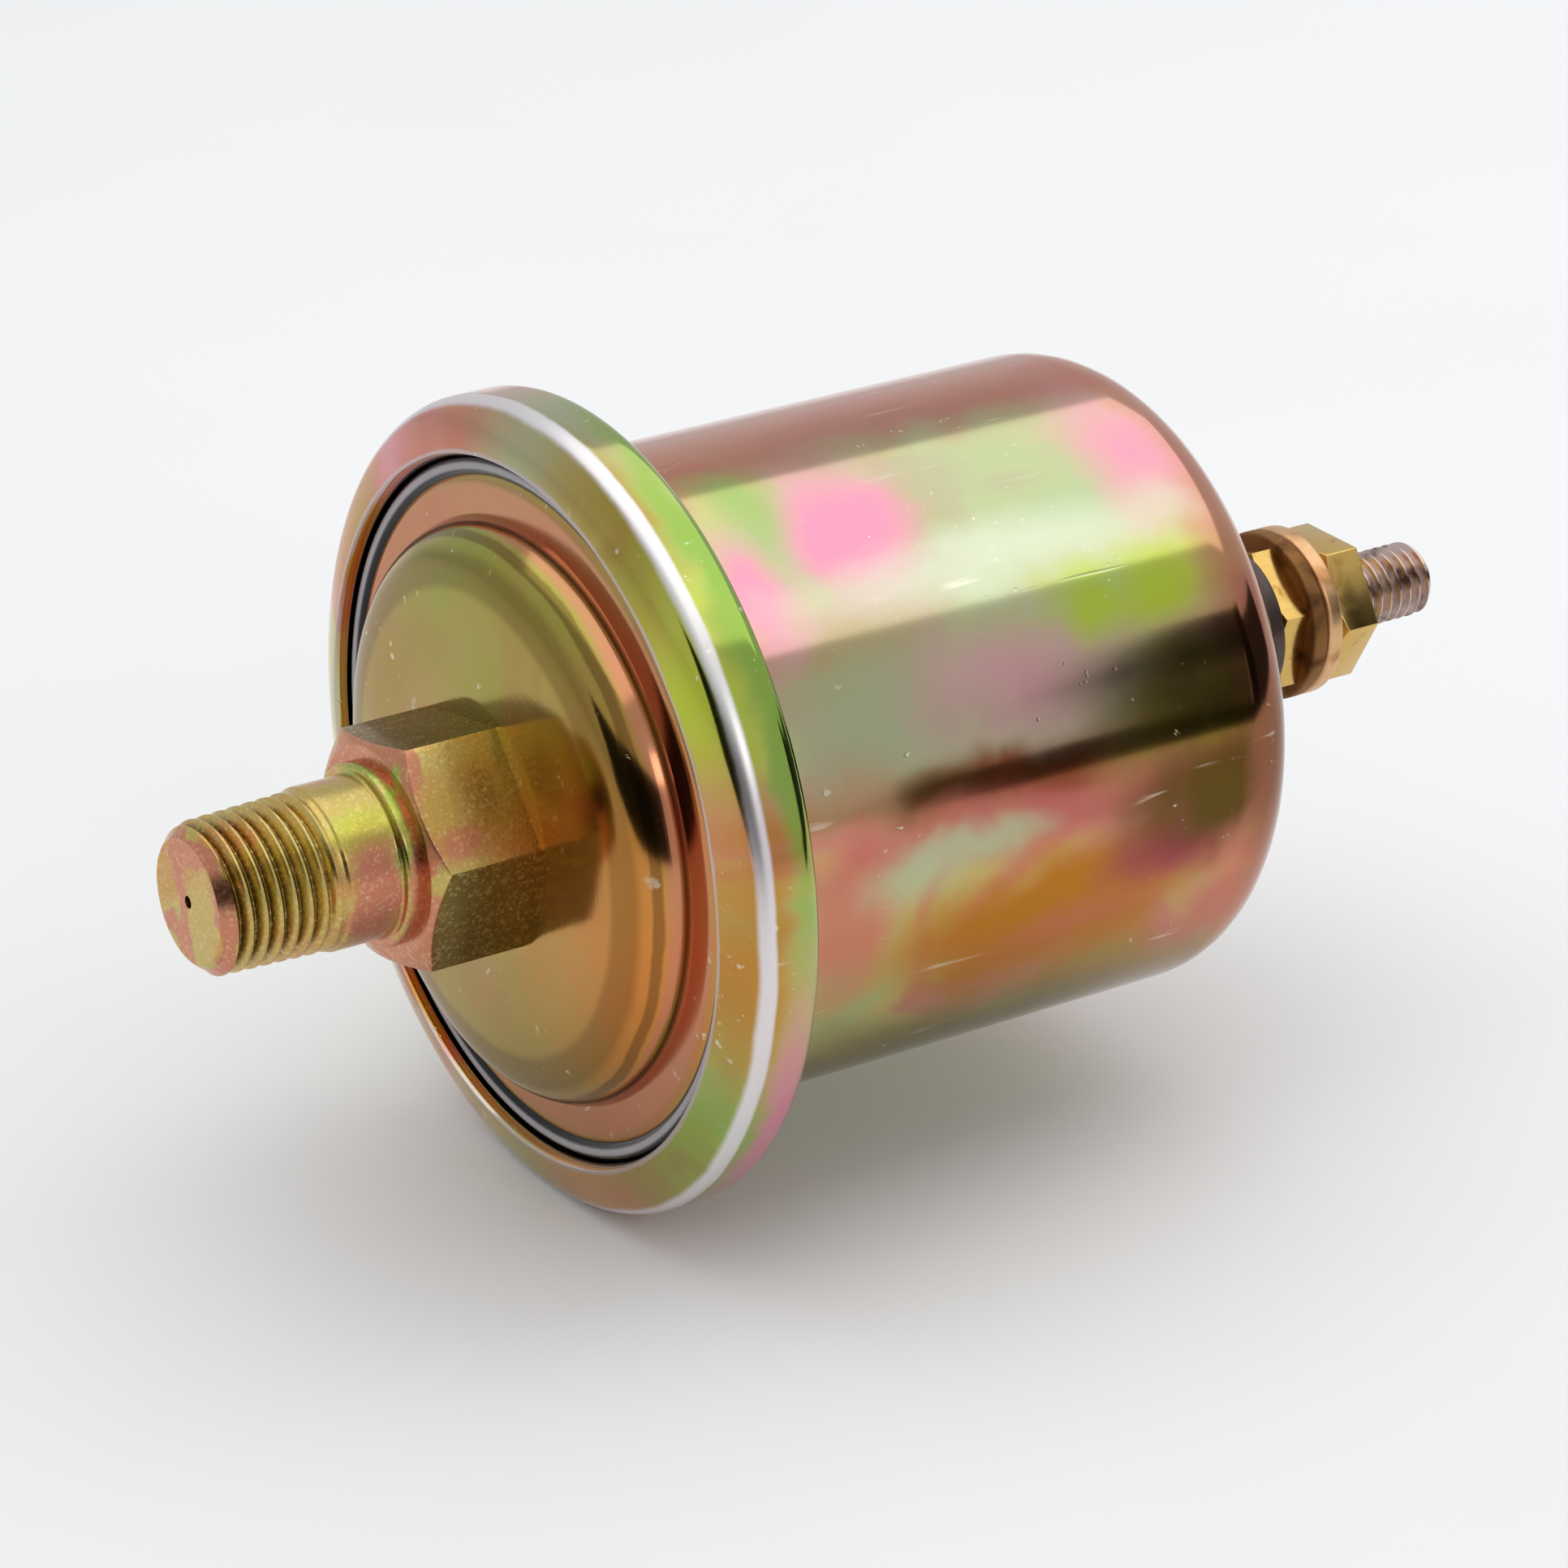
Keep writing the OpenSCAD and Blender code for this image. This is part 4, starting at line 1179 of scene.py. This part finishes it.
@dataclass
class Closure:
    """The pressed plate and the rubber seal that the rim clamps."""

    effects: Effects
    spigot_r: float = 4.0
    flat_r: float = 8.48
    top_r: float = 11.0
    thickness: float = 1.0
    crown_fall: float = 0.245
    fall: float = 0.7
    shoulder: float = 3.0
    steepest: float = -66.0
    blend: float = -50.0
    foot_angle: float = -6.0
    dome_r: float = 17.8
    groove: float = 0.35
    groove_w: float = 0.6
    ring_r: float = 20.6
    ring_back: float = 0.7
    clamp_r: float = 24.9
    bead_w: float = 1.7
    bead_h: float = 1.7
    lip_r: float = 22.7
    front: float = 8.0
    ring_drop: float = 3.9

    def plate_material(self) -> bpy.types.Material:
        """Builds the plate's finish: olive gold, orange on its right and on the ring, with painted shade
        in the dome's foot groove and a painted dark reflection round its shoulder.
        """
        patches = (
            Patch(Tint.OLIVE, 8.0, -20, 1.4, 200, 0.5, 0.55),
            Patch(Tint.GREEN, 8.4, -95, 1.5, 26, 0.6, 0.4),
            Patch(Tint.ORANGE, 9.0, 12, 2.6, 34, 0.5, 0.7),
        )
        bands = (
            Band(Tint.SALMON, "Radius", 19.5, 1.7, 0.62, outside=18.3),
            # Painted shade: a thin brown line in the groove at the dome's foot.
            Band(Tint.BROWN, "Radius", 17.95, 0.28, 0.55),
            # Painted reflection: a broad brown band round the dome's shoulder.
            Band(Tint.BROWN, "Radius", 16.0, 1.5, 0.4),
        )
        return Chromate(
            "plate_chromate",
            self.effects,
            patches=patches,
            bands=bands,
            base=Tint.STRAW,
            pull=0.84,
            roughness=(0.1, 0.18),
            drift_scale=60.0,
            scuffs=1.2,
            marks=3.0e-6,
        ).build()

    def seal_material(self) -> bpy.types.Material:
        """Builds the seal's glossy black rubber, with a painted highlight line along its bead."""
        return Moulded(
            "seal_rubber", self.effects,
            colour=linear(14, 13, 17), second=linear(24, 22, 28),
            roughness=(0.08, 0.14), depth=1.0e-6, shine=0.3, crest=(21.75, 0.34),
        ).build()

    def build(self) -> list[bpy.types.Object]:
        """Builds the plate and the seal.

        Returns:
            Both pieces.
        """
        ring_x = self.front + self.ring_drop
        flange_x = ring_x + self.ring_back
        foot_x = ring_x + self.groove
        centre_x = self.front + self.fall - self.shoulder * math.sin(math.radians(self.steepest))
        centre_r = self.dome_r - self.shoulder
        steps = 12
        turn = (self.foot_angle - self.blend) / steps
        angles = [math.radians(self.blend + turn * i) for i in range(steps + 1)]
        shoulder = [
            Corner(
                centre_x + self.shoulder * math.sin(a), centre_r + self.shoulder * math.cos(a)
            )
            for a in angles
        ]
        first = Vector((shoulder[0].x, shoulder[0].r))
        flat = Vector((self.front + self.crown_fall, self.top_r))
        knee = first - Vector((math.cos(angles[0]), -math.sin(angles[0]))) * 1.0
        crown = []
        for i in range(8):
            t = i / 8
            at = flat * (1 - t) ** 2 + knee * 2 * t * (1 - t) + first * t * t
            crown.append(Corner(at.x, at.y))
        outside = rounded(
            [
                Corner(self.front, self.spigot_r),
                Corner(self.front, self.flat_r, 1.5),
                *crown,
                *shoulder,
                Corner(foot_x, self.dome_r, 0.15),
                Corner(foot_x, self.dome_r + self.groove_w * 0.5, 0.15),
                Corner(ring_x, self.dome_r + self.groove_w, 0.2),
                Corner(ring_x, self.ring_r, 0.2),
                Corner(flange_x, self.ring_r + 0.15, 0.12),
                Corner(flange_x, self.clamp_r),
            ]
        )
        plate = pressed("pressed_plate", list(reversed(outside)), self.thickness)
        smooth(plate, 40)
        finish_piece(plate, self.plate_material(), "pressure_plate")

        low_r = self.lip_r - self.bead_w - 0.05
        bead = rounded(
            [
                Corner(flange_x - 0.01, low_r),
                Corner(flange_x - self.bead_h, low_r, 0.8),
                Corner(flange_x - self.bead_h, low_r + self.bead_w, 0.8),
                Corner(flange_x - 0.9, low_r + self.bead_w, 0.1),
                Corner(flange_x - 0.65, self.clamp_r - 0.25),
                Corner(flange_x - 0.01, self.clamp_r - 0.25),
            ],
            closed=True,
        )
        seal = turned("rim_bead", bead, 192)
        smooth(seal, 40)
        finish_piece(seal, self.seal_material(), "rim_seal")
        return [plate, seal]


@dataclass
class Can:
    """The drawn can: rounded end, drum, and the rim folded over the closure."""

    effects: Effects
    drum_r: float = 20.8
    sheet: float = 0.9
    rim_r: float = 26.0
    lip_r: float = 22.7
    lip_x: float = 10.0
    lip_angle: float = 22.0
    front_round: float = 1.4
    back_x: float = 15.5
    back_round: float = 1.0
    root_round: float = 1.2
    end_round: float = 4.25
    end_hole_r: float = 4.0
    rim_zone: float = 16.2

    def material(self) -> bpy.types.Material:
        """Builds the can's finish from the film and its larger patches of colour, with painted
        reflections and shade on the drum and a painted highlight on the rim.
        """
        top = (
            Patch(Tint.SALMON, 36, -104, 44, 20, 0.25, 0.9),
            Patch(Tint.ROSE, 38, -84, 22, 6.5, 0.5, 0.8),
            Patch(Tint.PALE_GREEN, 35, -62, 17, 19, 0.25, 0.75),
            Patch(Tint.PINK, 28.0, -63, 4.4, 15, 0.3, 1.0),
            Patch(Tint.PINK, 19.4, -51, 2.6, 12, 0.35, 1.0),
            Patch(Tint.GREEN, 22.0, -72, 2.2, 9, 0.5, 0.6),
            Patch(Tint.PINK, 49.6, -63, 3.4, 15, 0.5, 0.9),
            Patch(Tint.CREAM, 37, -49, 13, 5.5, 0.5, 0.8),
        )
        middle = (
            Patch(Tint.SAGE, 32, -26, 16, 16, 0.3, 0.75),
            Patch(Tint.PALE_GREEN, 23, -28, 5, 12, 0.5, 0.6),
            Patch(Tint.PINK, 34, -28, 6.5, 8, 0.5, 0.62),
            Patch(Tint.CHARTREUSE, 40.8, -38, 2.6, 5, 0.4, 0.85),
            Patch(Tint.CHARTREUSE, 47.6, -37, 4.4, 7, 0.4, 0.85),
            # Painted reflection: the rust spear along the drum and its dark brown tip.
            Patch(Tint.RUST, 35.0, -12, 9.5, 5.0, 0.3, 0.95),
            Patch(Tint.BROWN, 27.4, -12, 2.4, 3.0, 0.4, 0.85),
            Patch(Tint.OLIVE, 47.5, -14, 6.5, 12, 0.3, 0.8),
        )
        low = (
            Patch(Tint.CORAL, 21, 4, 3.6, 18, 0.4, 0.8),
            Patch(Tint.ROSE, 36, -5, 13, 5.0, 0.4, 0.85),
            Patch(Tint.SAGE, 26, 1, 3.2, 5, 0.4, 0.8),
            Patch(Tint.SAGE, 30.5, -3, 4, 2.6, 0.4, 0.7),
            Patch(Tint.AMBER, 36, 16, 10.5, 13, 0.22, 1.0),
            Patch(Tint.CORAL, 38, 20, 4.5, 3.5, 0.6, 0.5),
            Patch(Tint.MAGENTA, 45.0, 11, 4.0, 6, 0.4, 0.85),
            # Painted reflection: dark brown and dark olive on the drum's lower front.
            Patch(Tint.BROWN, 48.6, 1, 6.4, 12, 0.35, 0.95),
            Patch(Tint.DARK_OLIVE, 48.0, 0, 3.6, 6, 0.5, 0.7),
            Patch(Tint.CORAL, 50.5, 27, 4.0, 13, 0.4, 0.85),
            Patch(Tint.OLIVE, 36, 44, 20, 10, 0.4, 0.85),
            # Painted shade: dark olive along the drum's underside.
            Patch(Tint.DARK_OLIVE, 35, 56, 24, 11, 0.5, 0.85),
            Patch(Tint.SALMON, 54, -20, 2.6, 100, 0.3, 0.8),
            # Painted reflection: a dark brown patch at the end's right corner.
            Patch(Tint.BROWN, 54, -8, 2.8, 22, 0.5, 0.75),
        )
        rim = (
            Patch(Tint.PALE_GREEN, 12.5, -88, 4, 14, 0.4, 0.8),
            Patch(Tint.PINK, 12, -128, 4, 10, 0.5, 0.6),
            Patch(Tint.OLIVE, 11, -64, 2.2, 14, 0.4, 0.85),
            Patch(Tint.CHARTREUSE, 11, -38, 2.4, 14, 0.5, 0.85),
            Patch(Tint.AMBER, 11, 2, 2.2, 20, 0.4, 0.8),
            Patch(Tint.GREEN, 11, 36, 2.4, 14, 0.5, 0.7),
            Patch(Tint.GREEN, 14.3, -42, 1.5, 44, 0.3, 0.9),
            Patch(Tint.PINK, 14.3, 36, 1.6, 24, 0.3, 0.9),
            Patch(Tint.SALMON, 12.5, 76, 4, 22, 0.4, 0.6),
        )
        return Chromate(
            "can_chromate",
            self.effects,
            patches=top + middle + low + rim,
            base=Tint.GOLD,
            pull=0.2,
            roughness=(0.08, 0.15),
            drift_scale=58.0,
            ripple=4.0e-5,
            bands=(
                # Painted highlight: a pale silver band along the rim's rounded front corner, where the
                # highlight runs.
                Band(Tint.SILVER, "Along", 11.7, 0.62, 0.88, 0.22),
                Band(Tint.BROWN, "Along", 15.4, 0.22, 0.8, outside=25.2),
                Band(Tint.LILAC, "Radius", 22.78, 0.2, 0.8, before=12.0),
            ),
            scuffs=1.3,
        ).build()

    def build(self) -> bpy.types.Object:
        """Builds the can as one sheet.

        Returns:
            The can, in place of its CAD node.
        """
        end = span("housing_can")[1]
        slope = math.tan(math.radians(self.lip_angle))
        outside = rounded(
            [
                Corner(self.lip_x, self.lip_r),
                Corner(self.lip_x + (self.rim_r - self.lip_r) * slope, self.rim_r, self.front_round),
                Corner(self.back_x, self.rim_r, self.back_round),
                Corner(self.back_x, self.drum_r, self.root_round),
                Corner(end, self.drum_r, self.end_round),
                Corner(end, self.end_hole_r),
            ]
        )
        piece = pressed("drum_can", list(reversed(outside)), self.sheet, 256)
        smooth(piece, 40)
        return finish_piece(piece, self.material(), "housing_can")


@dataclass
class Terminal:
    """The insulated stud terminal: insulator, nuts, washers and threaded stud."""

    effects: Effects
    stud_r: float = 2.5
    pitch: float = 0.8
    thread_depth: float = 0.46
    shank_r: float = 2.25
    nut_flats: float = 9.1
    inner_corner_at: float = -20.0
    outer_corner_at: float = 0.0
    nut_bore_r: float = 2.32
    washer_r: float = 5.7
    insulator_r: float = 5.3
    flange_r: float = 8.5
    flange_t: float = 2.2
    sleeve_r: float = 3.95
    split: float = 0.7

    def brass(self) -> bpy.types.Material:
        """Builds the nuts' bright brass."""
        return PlainMetal(
            "nut_brass", self.effects, colour=linear(218, 180, 102),
            tarnish=linear(178, 132, 62), roughness=(0.14, 0.26),
            grain=(0.25, 1.0, 1.0), depth=1.5e-6, spots=0.25,
        ).build()

    def ring_with_hole(
        self, name: str, x0: float, x1: float, hole_r: float, edge: float
    ) -> bpy.types.Object:
        """Turns a washer with rounded edges."""
        outline = rounded(
            [
                Corner(x0, hole_r, edge / 2),
                Corner(x0, self.washer_r, edge),
                Corner(x1, self.washer_r, edge),
                Corner(x1, hole_r, edge / 2),
            ],
            closed=True,
        )
        return turned(name, outline, 112)

    def nut(
        self, name: str, node: str, corner_at: float, chamfers: Point,
        material: bpy.types.Material,
    ) -> bpy.types.Object:
        """Makes one nut with its bore countersunk on both faces.

        Args:
            name: The piece's name.
            node: Its CAD node, which gives its place.
            corner_at: Angle of one corner from +Y towards +Z, in degrees.
            chamfers: Chamfer on the first and the last face.
            material: Its finish.

        Returns:
            The nut, in place of its CAD node.
        """
        x0, x1 = span(node)
        piece = chamfered_hexagon(name, x0, x1, self.nut_flats, corner_at, chamfers)
        sink = 0.35
        bore = [
            (x0 - 1, 0.0),
            (x0 - 1, self.nut_bore_r + sink + 1),
            (x0 + sink, self.nut_bore_r),
            (x1 - sink, self.nut_bore_r),
            (x1 + 1, self.nut_bore_r + sink + 1),
            (x1 + 1, 0.0),
        ]
        combine(piece, turned("bore", bore, 64), "DIFFERENCE")
        smooth(piece, 26)
        return finish_piece(piece, material, node)

    def build_stud(self) -> bpy.types.Object:
        """Builds the stud: staked nose, head, plain shank and threaded free end.

        Returns:
            The stud, in place of its CAD node.
        """
        start, end = span("terminal_stud")
        thread_start = span("outer_nut")[1] - 0.5
        thread = Thread(
            thread_start, end, self.stud_r, self.pitch, self.thread_depth,
            tail=0.5, steps=72,
        )
        piece = thread.build("terminal_bolt")
        head = span("inner_insulating_washer")[0]
        head_t = 2.0
        outline = rounded(
            [
                Corner(start, 0.0),
                Corner(start, self.shank_r / 2 + 0.7, 0.15),
                Corner(start + 0.4, self.shank_r / 2 + 0.7),
                Corner(start + 0.4, self.shank_r / 2),
                Corner(head - head_t, self.shank_r / 2),
                Corner(head - head_t, self.shank_r),
                Corner(thread_start + 0.3, self.shank_r),
                Corner(thread_start + 0.3, 0.0),
            ]
        )
        combine(piece, turned("shank", outline, 64), "UNION")
        combine(
            piece,
            chamfered_hexagon("head", head - head_t, head, 8.0, -30.0, (0.3, 0.0)),
            "UNION",
        )
        smooth(piece, 26)
        steel = PlainMetal(
            "stud_steel", self.effects, colour=linear(206, 186, 178),
            tarnish=linear(120, 92, 80), roughness=(0.16, 0.3),
            grain=(0.4, 1.0, 1.0), depth=3.0e-6, spots=0.5,
        )
        return finish_piece(piece, steel.build(), "terminal_stud")

    def build_insulator(self) -> bpy.types.Object:
        """Builds the moulded insulator under the inner nut."""
        x0, x1 = span("terminal_insulator")
        drum = span("housing_can")[1]
        top = drum + self.flange_t
        outline = rounded(
            [
                Corner(x0, self.stud_r + 0.05),
                Corner(x0, self.sleeve_r, 0.1),
                Corner(drum, self.sleeve_r),
                Corner(drum, self.flange_r, 0.2),
                Corner(top, self.flange_r, 0.6),
                Corner(top, self.insulator_r, 1.2),
                Corner(x1, self.insulator_r, 0.3),
                Corner(x1, self.stud_r + 0.05),
            ],
            closed=True,
        )
        piece = turned("stud_insulator", outline, 144)
        smooth(piece, 40)
        phenolic = Moulded(
            "insulator_phenolic", self.effects, colour=linear(66, 40, 28),
            second=linear(44, 26, 20), roughness=(0.3, 0.46), depth=3.0e-6, coat=0.2,
        )
        return finish_piece(piece, phenolic.build(), "terminal_insulator")

    def build_washers(self) -> list[bpy.types.Object]:
        """Builds the split spring washer and the flat washer."""
        x0, x1 = span("spring_washer")
        spring = self.ring_with_hole("split_washer", x0, x1, self.stud_r + 0.2, 0.28)
        deselect_all()
        bpy.ops.mesh.primitive_cube_add(size=1)
        slot = bpy.context.object
        slot.scale = (4 * (x1 - x0) * MM, self.split * MM, self.washer_r * MM * 1.6)
        slot.rotation_euler = (0, 0, math.radians(30))
        slot.location = ((x0 + x1) / 2 * MM, 0, -self.washer_r * MM)
        settle(slot)
        combine(spring, slot, "DIFFERENCE")
        smooth(spring, 30)
        bronze = PlainMetal(
            "washer_bronze", self.effects, colour=linear(150, 106, 62),
            tarnish=linear(96, 62, 38), roughness=(0.5, 0.62),
            grain=(0.2, 1.0, 1.0), depth=3.0e-6, spots=0.5,
        )
        finish_piece(spring, bronze.build(), "spring_washer")

        x0, x1 = span("flat_washer")
        flat = self.ring_with_hole("plain_washer", x0, x1, self.stud_r + 0.15, 0.35)
        smooth(flat, 30)
        copper = PlainMetal(
            "washer_copper", self.effects, colour=linear(226, 180, 132),
            tarnish=linear(190, 126, 76), roughness=(0.24, 0.38),
            grain=(0.15, 1.0, 1.0), depth=4.0e-6, spots=0.5,
        )
        finish_piece(flat, copper.build(), "flat_washer")
        return [spring, flat]

    def build(self) -> None:
        """Builds every piece of the terminal."""
        brass = self.brass()
        self.build_insulator()
        self.nut("thin_nut", "inner_nut", self.inner_corner_at, (0.25, 0.0), brass)
        self.build_washers()
        self.nut("clamp_nut", "outer_nut", self.outer_corner_at, (0.7, 0.0), brass)
        self.build_stud()


@dataclass
class Movement:
    """The hidden pieces inside the drum, which keep their CAD shapes."""

    effects: Effects
    steel_nodes: tuple[str, ...] = (
        "diaphragm", "diaphragm_button", "push_pin", "return_spring", "movement_frame",
        "frame_screws", "pivot_pin", "lever",
    )
    brass_nodes: tuple[str, ...] = ("guide_bush", "former_rivets", "contact_strip")
    board_nodes: tuple[str, ...] = ("resistor_former", "former_insulator")

    def dress(self, nodes: Sequence[str], material: bpy.types.Material) -> None:
        """Gives CAD nodes a finish."""
        for name in nodes:
            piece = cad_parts[name]
            piece.data.materials.clear()
            piece.data.materials.append(material)
            log.info("%s: dressed in %s", name, material.name)

    def build(self) -> None:
        """Dresses every hidden piece."""
        fx = self.effects
        steel = PlainMetal(
            "inner_steel", fx, colour=linear(196, 196, 200), tarnish=linear(150, 146, 142),
            roughness=(0.2, 0.36), grain=(0.3, 1.0, 1.0), depth=2.0e-6, spots=0.3,
        )
        brass = PlainMetal(
            "inner_brass", fx, colour=linear(222, 190, 110), tarnish=linear(170, 128, 58),
            roughness=(0.2, 0.36), grain=(1.0, 1.0, 0.3), depth=2.0e-6, spots=0.3,
        )
        bronze = PlainMetal(
            "leaf_bronze", fx, colour=linear(206, 150, 96), tarnish=linear(140, 92, 56),
            roughness=(0.18, 0.32), grain=(0.2, 1.0, 1.0), depth=2.0e-6, spots=0.3,
        )
        wire = PlainMetal(
            "resistance_wire", fx, colour=linear(190, 170, 150), tarnish=linear(150, 120, 96),
            roughness=(0.25, 0.4), grain=(1.0, 0.3, 1.0), depth=5.0e-6, spots=0.3,
        )
        silver = PlainMetal(
            "contact_silver", fx, colour=linear(235, 235, 232), tarnish=linear(180, 176, 168),
            roughness=(0.12, 0.24), depth=1.0e-6, spots=0.2,
        )
        board = Moulded(
            "former_laminate", fx, colour=linear(150, 98, 56), second=linear(112, 68, 38),
            roughness=(0.4, 0.6), scale=(0.2, 1.0, 1.0), depth=5.0e-6,
        )
        phenolic = Moulded(
            "inner_phenolic", fx, colour=linear(66, 40, 28), second=linear(44, 26, 20),
            roughness=(0.35, 0.5), depth=3.0e-6,
        )
        carrier = Chromate(
            "carrier_chromate", fx, base=Tint.GOLD, pull=0.5, roughness=(0.16, 0.28),
            drift_scale=80.0, scuffs=0.8,
        )
        self.dress(self.steel_nodes, steel.build())
        self.dress(self.brass_nodes, brass.build())
        self.dress(("wiper_spring",), bronze.build())
        self.dress(("resistance_winding",), wire.build())
        self.dress(("wiper_contact",), silver.build())
        self.dress(self.board_nodes, board.build())
        self.dress(("inner_insulating_washer",), phenolic.build())
        self.dress(("carrier_plate",), carrier.build())


# Studio


@dataclass
class Studio:
    """The floor, lights, cards and camera round the sender. Places are in metres."""

    floor_z: float = -0.02605
    floor_size: float = 6.0
    camera_at: tuple[float, float, float] = (-0.164619, -0.294588, 0.155787)
    camera_pitch: float = 65.8026
    camera_yaw: float = -33.4159
    lens: float = 140.071
    sensor: float = 36.0
    cards: list[bpy.types.Object] = field(default_factory=list)

    def floor(self) -> None:
        """Lays the pale floor."""
        deselect_all()
        bpy.ops.mesh.primitive_plane_add(size=self.floor_size, location=(0, 0, self.floor_z))
        floor = bpy.context.object
        floor.name = "floor"
        settle(floor)
        material = bpy.data.materials.new("floor_paper")
        material.use_nodes = True
        bench = Bench(material.node_tree)
        shader = next(n for n in material.node_tree.nodes if n.type == "BSDF_PRINCIPLED")
        place = bench.add("ShaderNodeTexCoord").outputs["Object"]
        tone = bench.noise(place, 18.0, 3.0)
        bench.put(
            shader.inputs["Base Color"],
            bench.mix(tone, (0.86, 0.86, 0.855), (0.9, 0.9, 0.895)),
        )
        shader.inputs["Roughness"].default_value = 0.85
        floor.data.materials.append(material)

    def card(
        self, name: str, corners: Sequence[tuple[float, float, float]], tone: float
    ) -> None:
        """Stands a card beside the sender, seen only in its reflections.

        Args:
            name: The card's name.
            corners: Its corners in order, in metres.
            tone: Its grey, from 0 to 1.
        """
        mesh = bpy.data.meshes.new(name)
        mesh.from_pydata([Vector(c) for c in corners], [], [tuple(range(len(corners)))])
        card = bpy.data.objects.new(name, mesh)
        bpy.context.scene.collection.objects.link(card)
        material = bpy.data.materials.new(name)
        material.use_nodes = True
        shader = next(n for n in material.node_tree.nodes if n.type == "BSDF_PRINCIPLED")
        shader.inputs["Base Color"].default_value = (tone, tone, tone, 1.0)
        shader.inputs["Roughness"].default_value = 0.9
        shader.inputs["Specular IOR Level"].default_value = 0.0
        mesh.materials.append(material)
        card.visible_camera = False
        card.visible_shadow = False
        card.visible_diffuse = False
        self.cards.append(card)

    def area(
        self,
        name: str,
        at: tuple[float, float, float],
        towards: tuple[float, float, float],
        size: Point,
        power: float,
        tint: Colour = (1.0, 1.0, 1.0),
    ) -> None:
        """Hangs a soft light.

        Args:
            name: The light's name.
            at: Its place.
            towards: The point that it faces.
            size: Its width and height.
            power: Its power in watts.
            tint: Its colour.
        """
        deselect_all()
        bpy.ops.object.light_add(type="AREA", location=at)
        lamp = bpy.context.object
        lamp.name = name
        lamp.data.shape = "RECTANGLE"
        lamp.data.size, lamp.data.size_y = size
        lamp.data.energy = power
        lamp.data.color = tint
        direction = Vector(towards) - Vector(at)
        lamp.rotation_euler = direction.to_track_quat("-Z", "Y").to_euler()
        lamp.visible_camera = False

    def camera(self) -> None:
        """Places the camera at the photograph's angle."""
        deselect_all()
        bpy.ops.object.camera_add(
            location=self.camera_at,
            rotation=(math.radians(self.camera_pitch), 0, math.radians(self.camera_yaw)),
        )
        camera = bpy.context.object
        camera.data.lens = self.lens
        camera.data.sensor_width = self.sensor
        bpy.context.scene.camera = camera

    def build(self) -> None:
        """Sets up the whole studio."""
        self.floor()
        world = bpy.data.worlds.new("studio")
        world.use_nodes = True
        background = next(n for n in world.node_tree.nodes if n.type == "BACKGROUND")
        background.inputs["Color"].default_value = (0.95, 0.97, 1.0, 1.0)
        background.inputs["Strength"].default_value = 0.72
        bpy.context.scene.world = world
        bpy.context.scene.view_settings.view_transform = "Standard"
        self.area("overhead_box", (0.2, 0.03, 0.42), (0.2, 0.03, 0), (0.9, 0.6), 1.35)
        self.area("key", (-0.02, -0.46, 0.27), (0.02, 0, 0), (0.22, 0.1), 0.16)
        self.card(
            "dark_wedge",
            [(0.178, -0.23, 0.03), (0.185, -0.23, 0.091), (0.202, -0.23, 0.125),
             (0.219, -0.23, 0.149), (0.30, -0.23, 0.16), (0.30, -0.23, -0.0255),
             (0.179, -0.23, -0.0255)],
            0.012,
        )
        self.card(
            "dark_spear",
            [(0.157, -0.23, 0.0), (0.156, -0.23, 0.009), (0.168, -0.23, 0.015),
             (0.179, -0.23, 0.012), (0.179, -0.23, -0.022), (0.168, -0.23, -0.0255),
             (0.159, -0.23, -0.02)],
            0.1,
        )
        self.card(
            "wedge_glow",
            [(0.196, -0.226, 0.0), (0.2, -0.226, 0.06), (0.214, -0.226, 0.085),
             (0.216, -0.226, 0.0)],
            0.26,
        )
        self.card(
            "end_card",
            [(0.3, -0.23, -0.0255), (0.3, -0.23, 0.13), (0.44, -0.04, 0.08),
             (0.44, -0.04, -0.0255)],
            0.05,
        )
        self.card(
            "dark_side",
            [(-0.34, 0.04, -0.02), (-0.34, 0.04, 0.13), (-0.21, -0.25, 0.17),
             (-0.08, -0.33, 0.15), (-0.08, -0.33, -0.02), (-0.21, -0.25, -0.02)],
            0.012,
        )
        self.camera()


def main() -> None:
    """Builds the classes in order."""
    logging.basicConfig(level=logging.INFO, format="%(name)s %(message)s")
    effects = Effects()
    Studio().build()
    Fitting(effects).build()
    Closure(effects).build()
    Can(effects).build()
    Terminal(effects).build()
    Movement(effects).build()
    deselect_all()


if __name__ == "__main__":
    main()
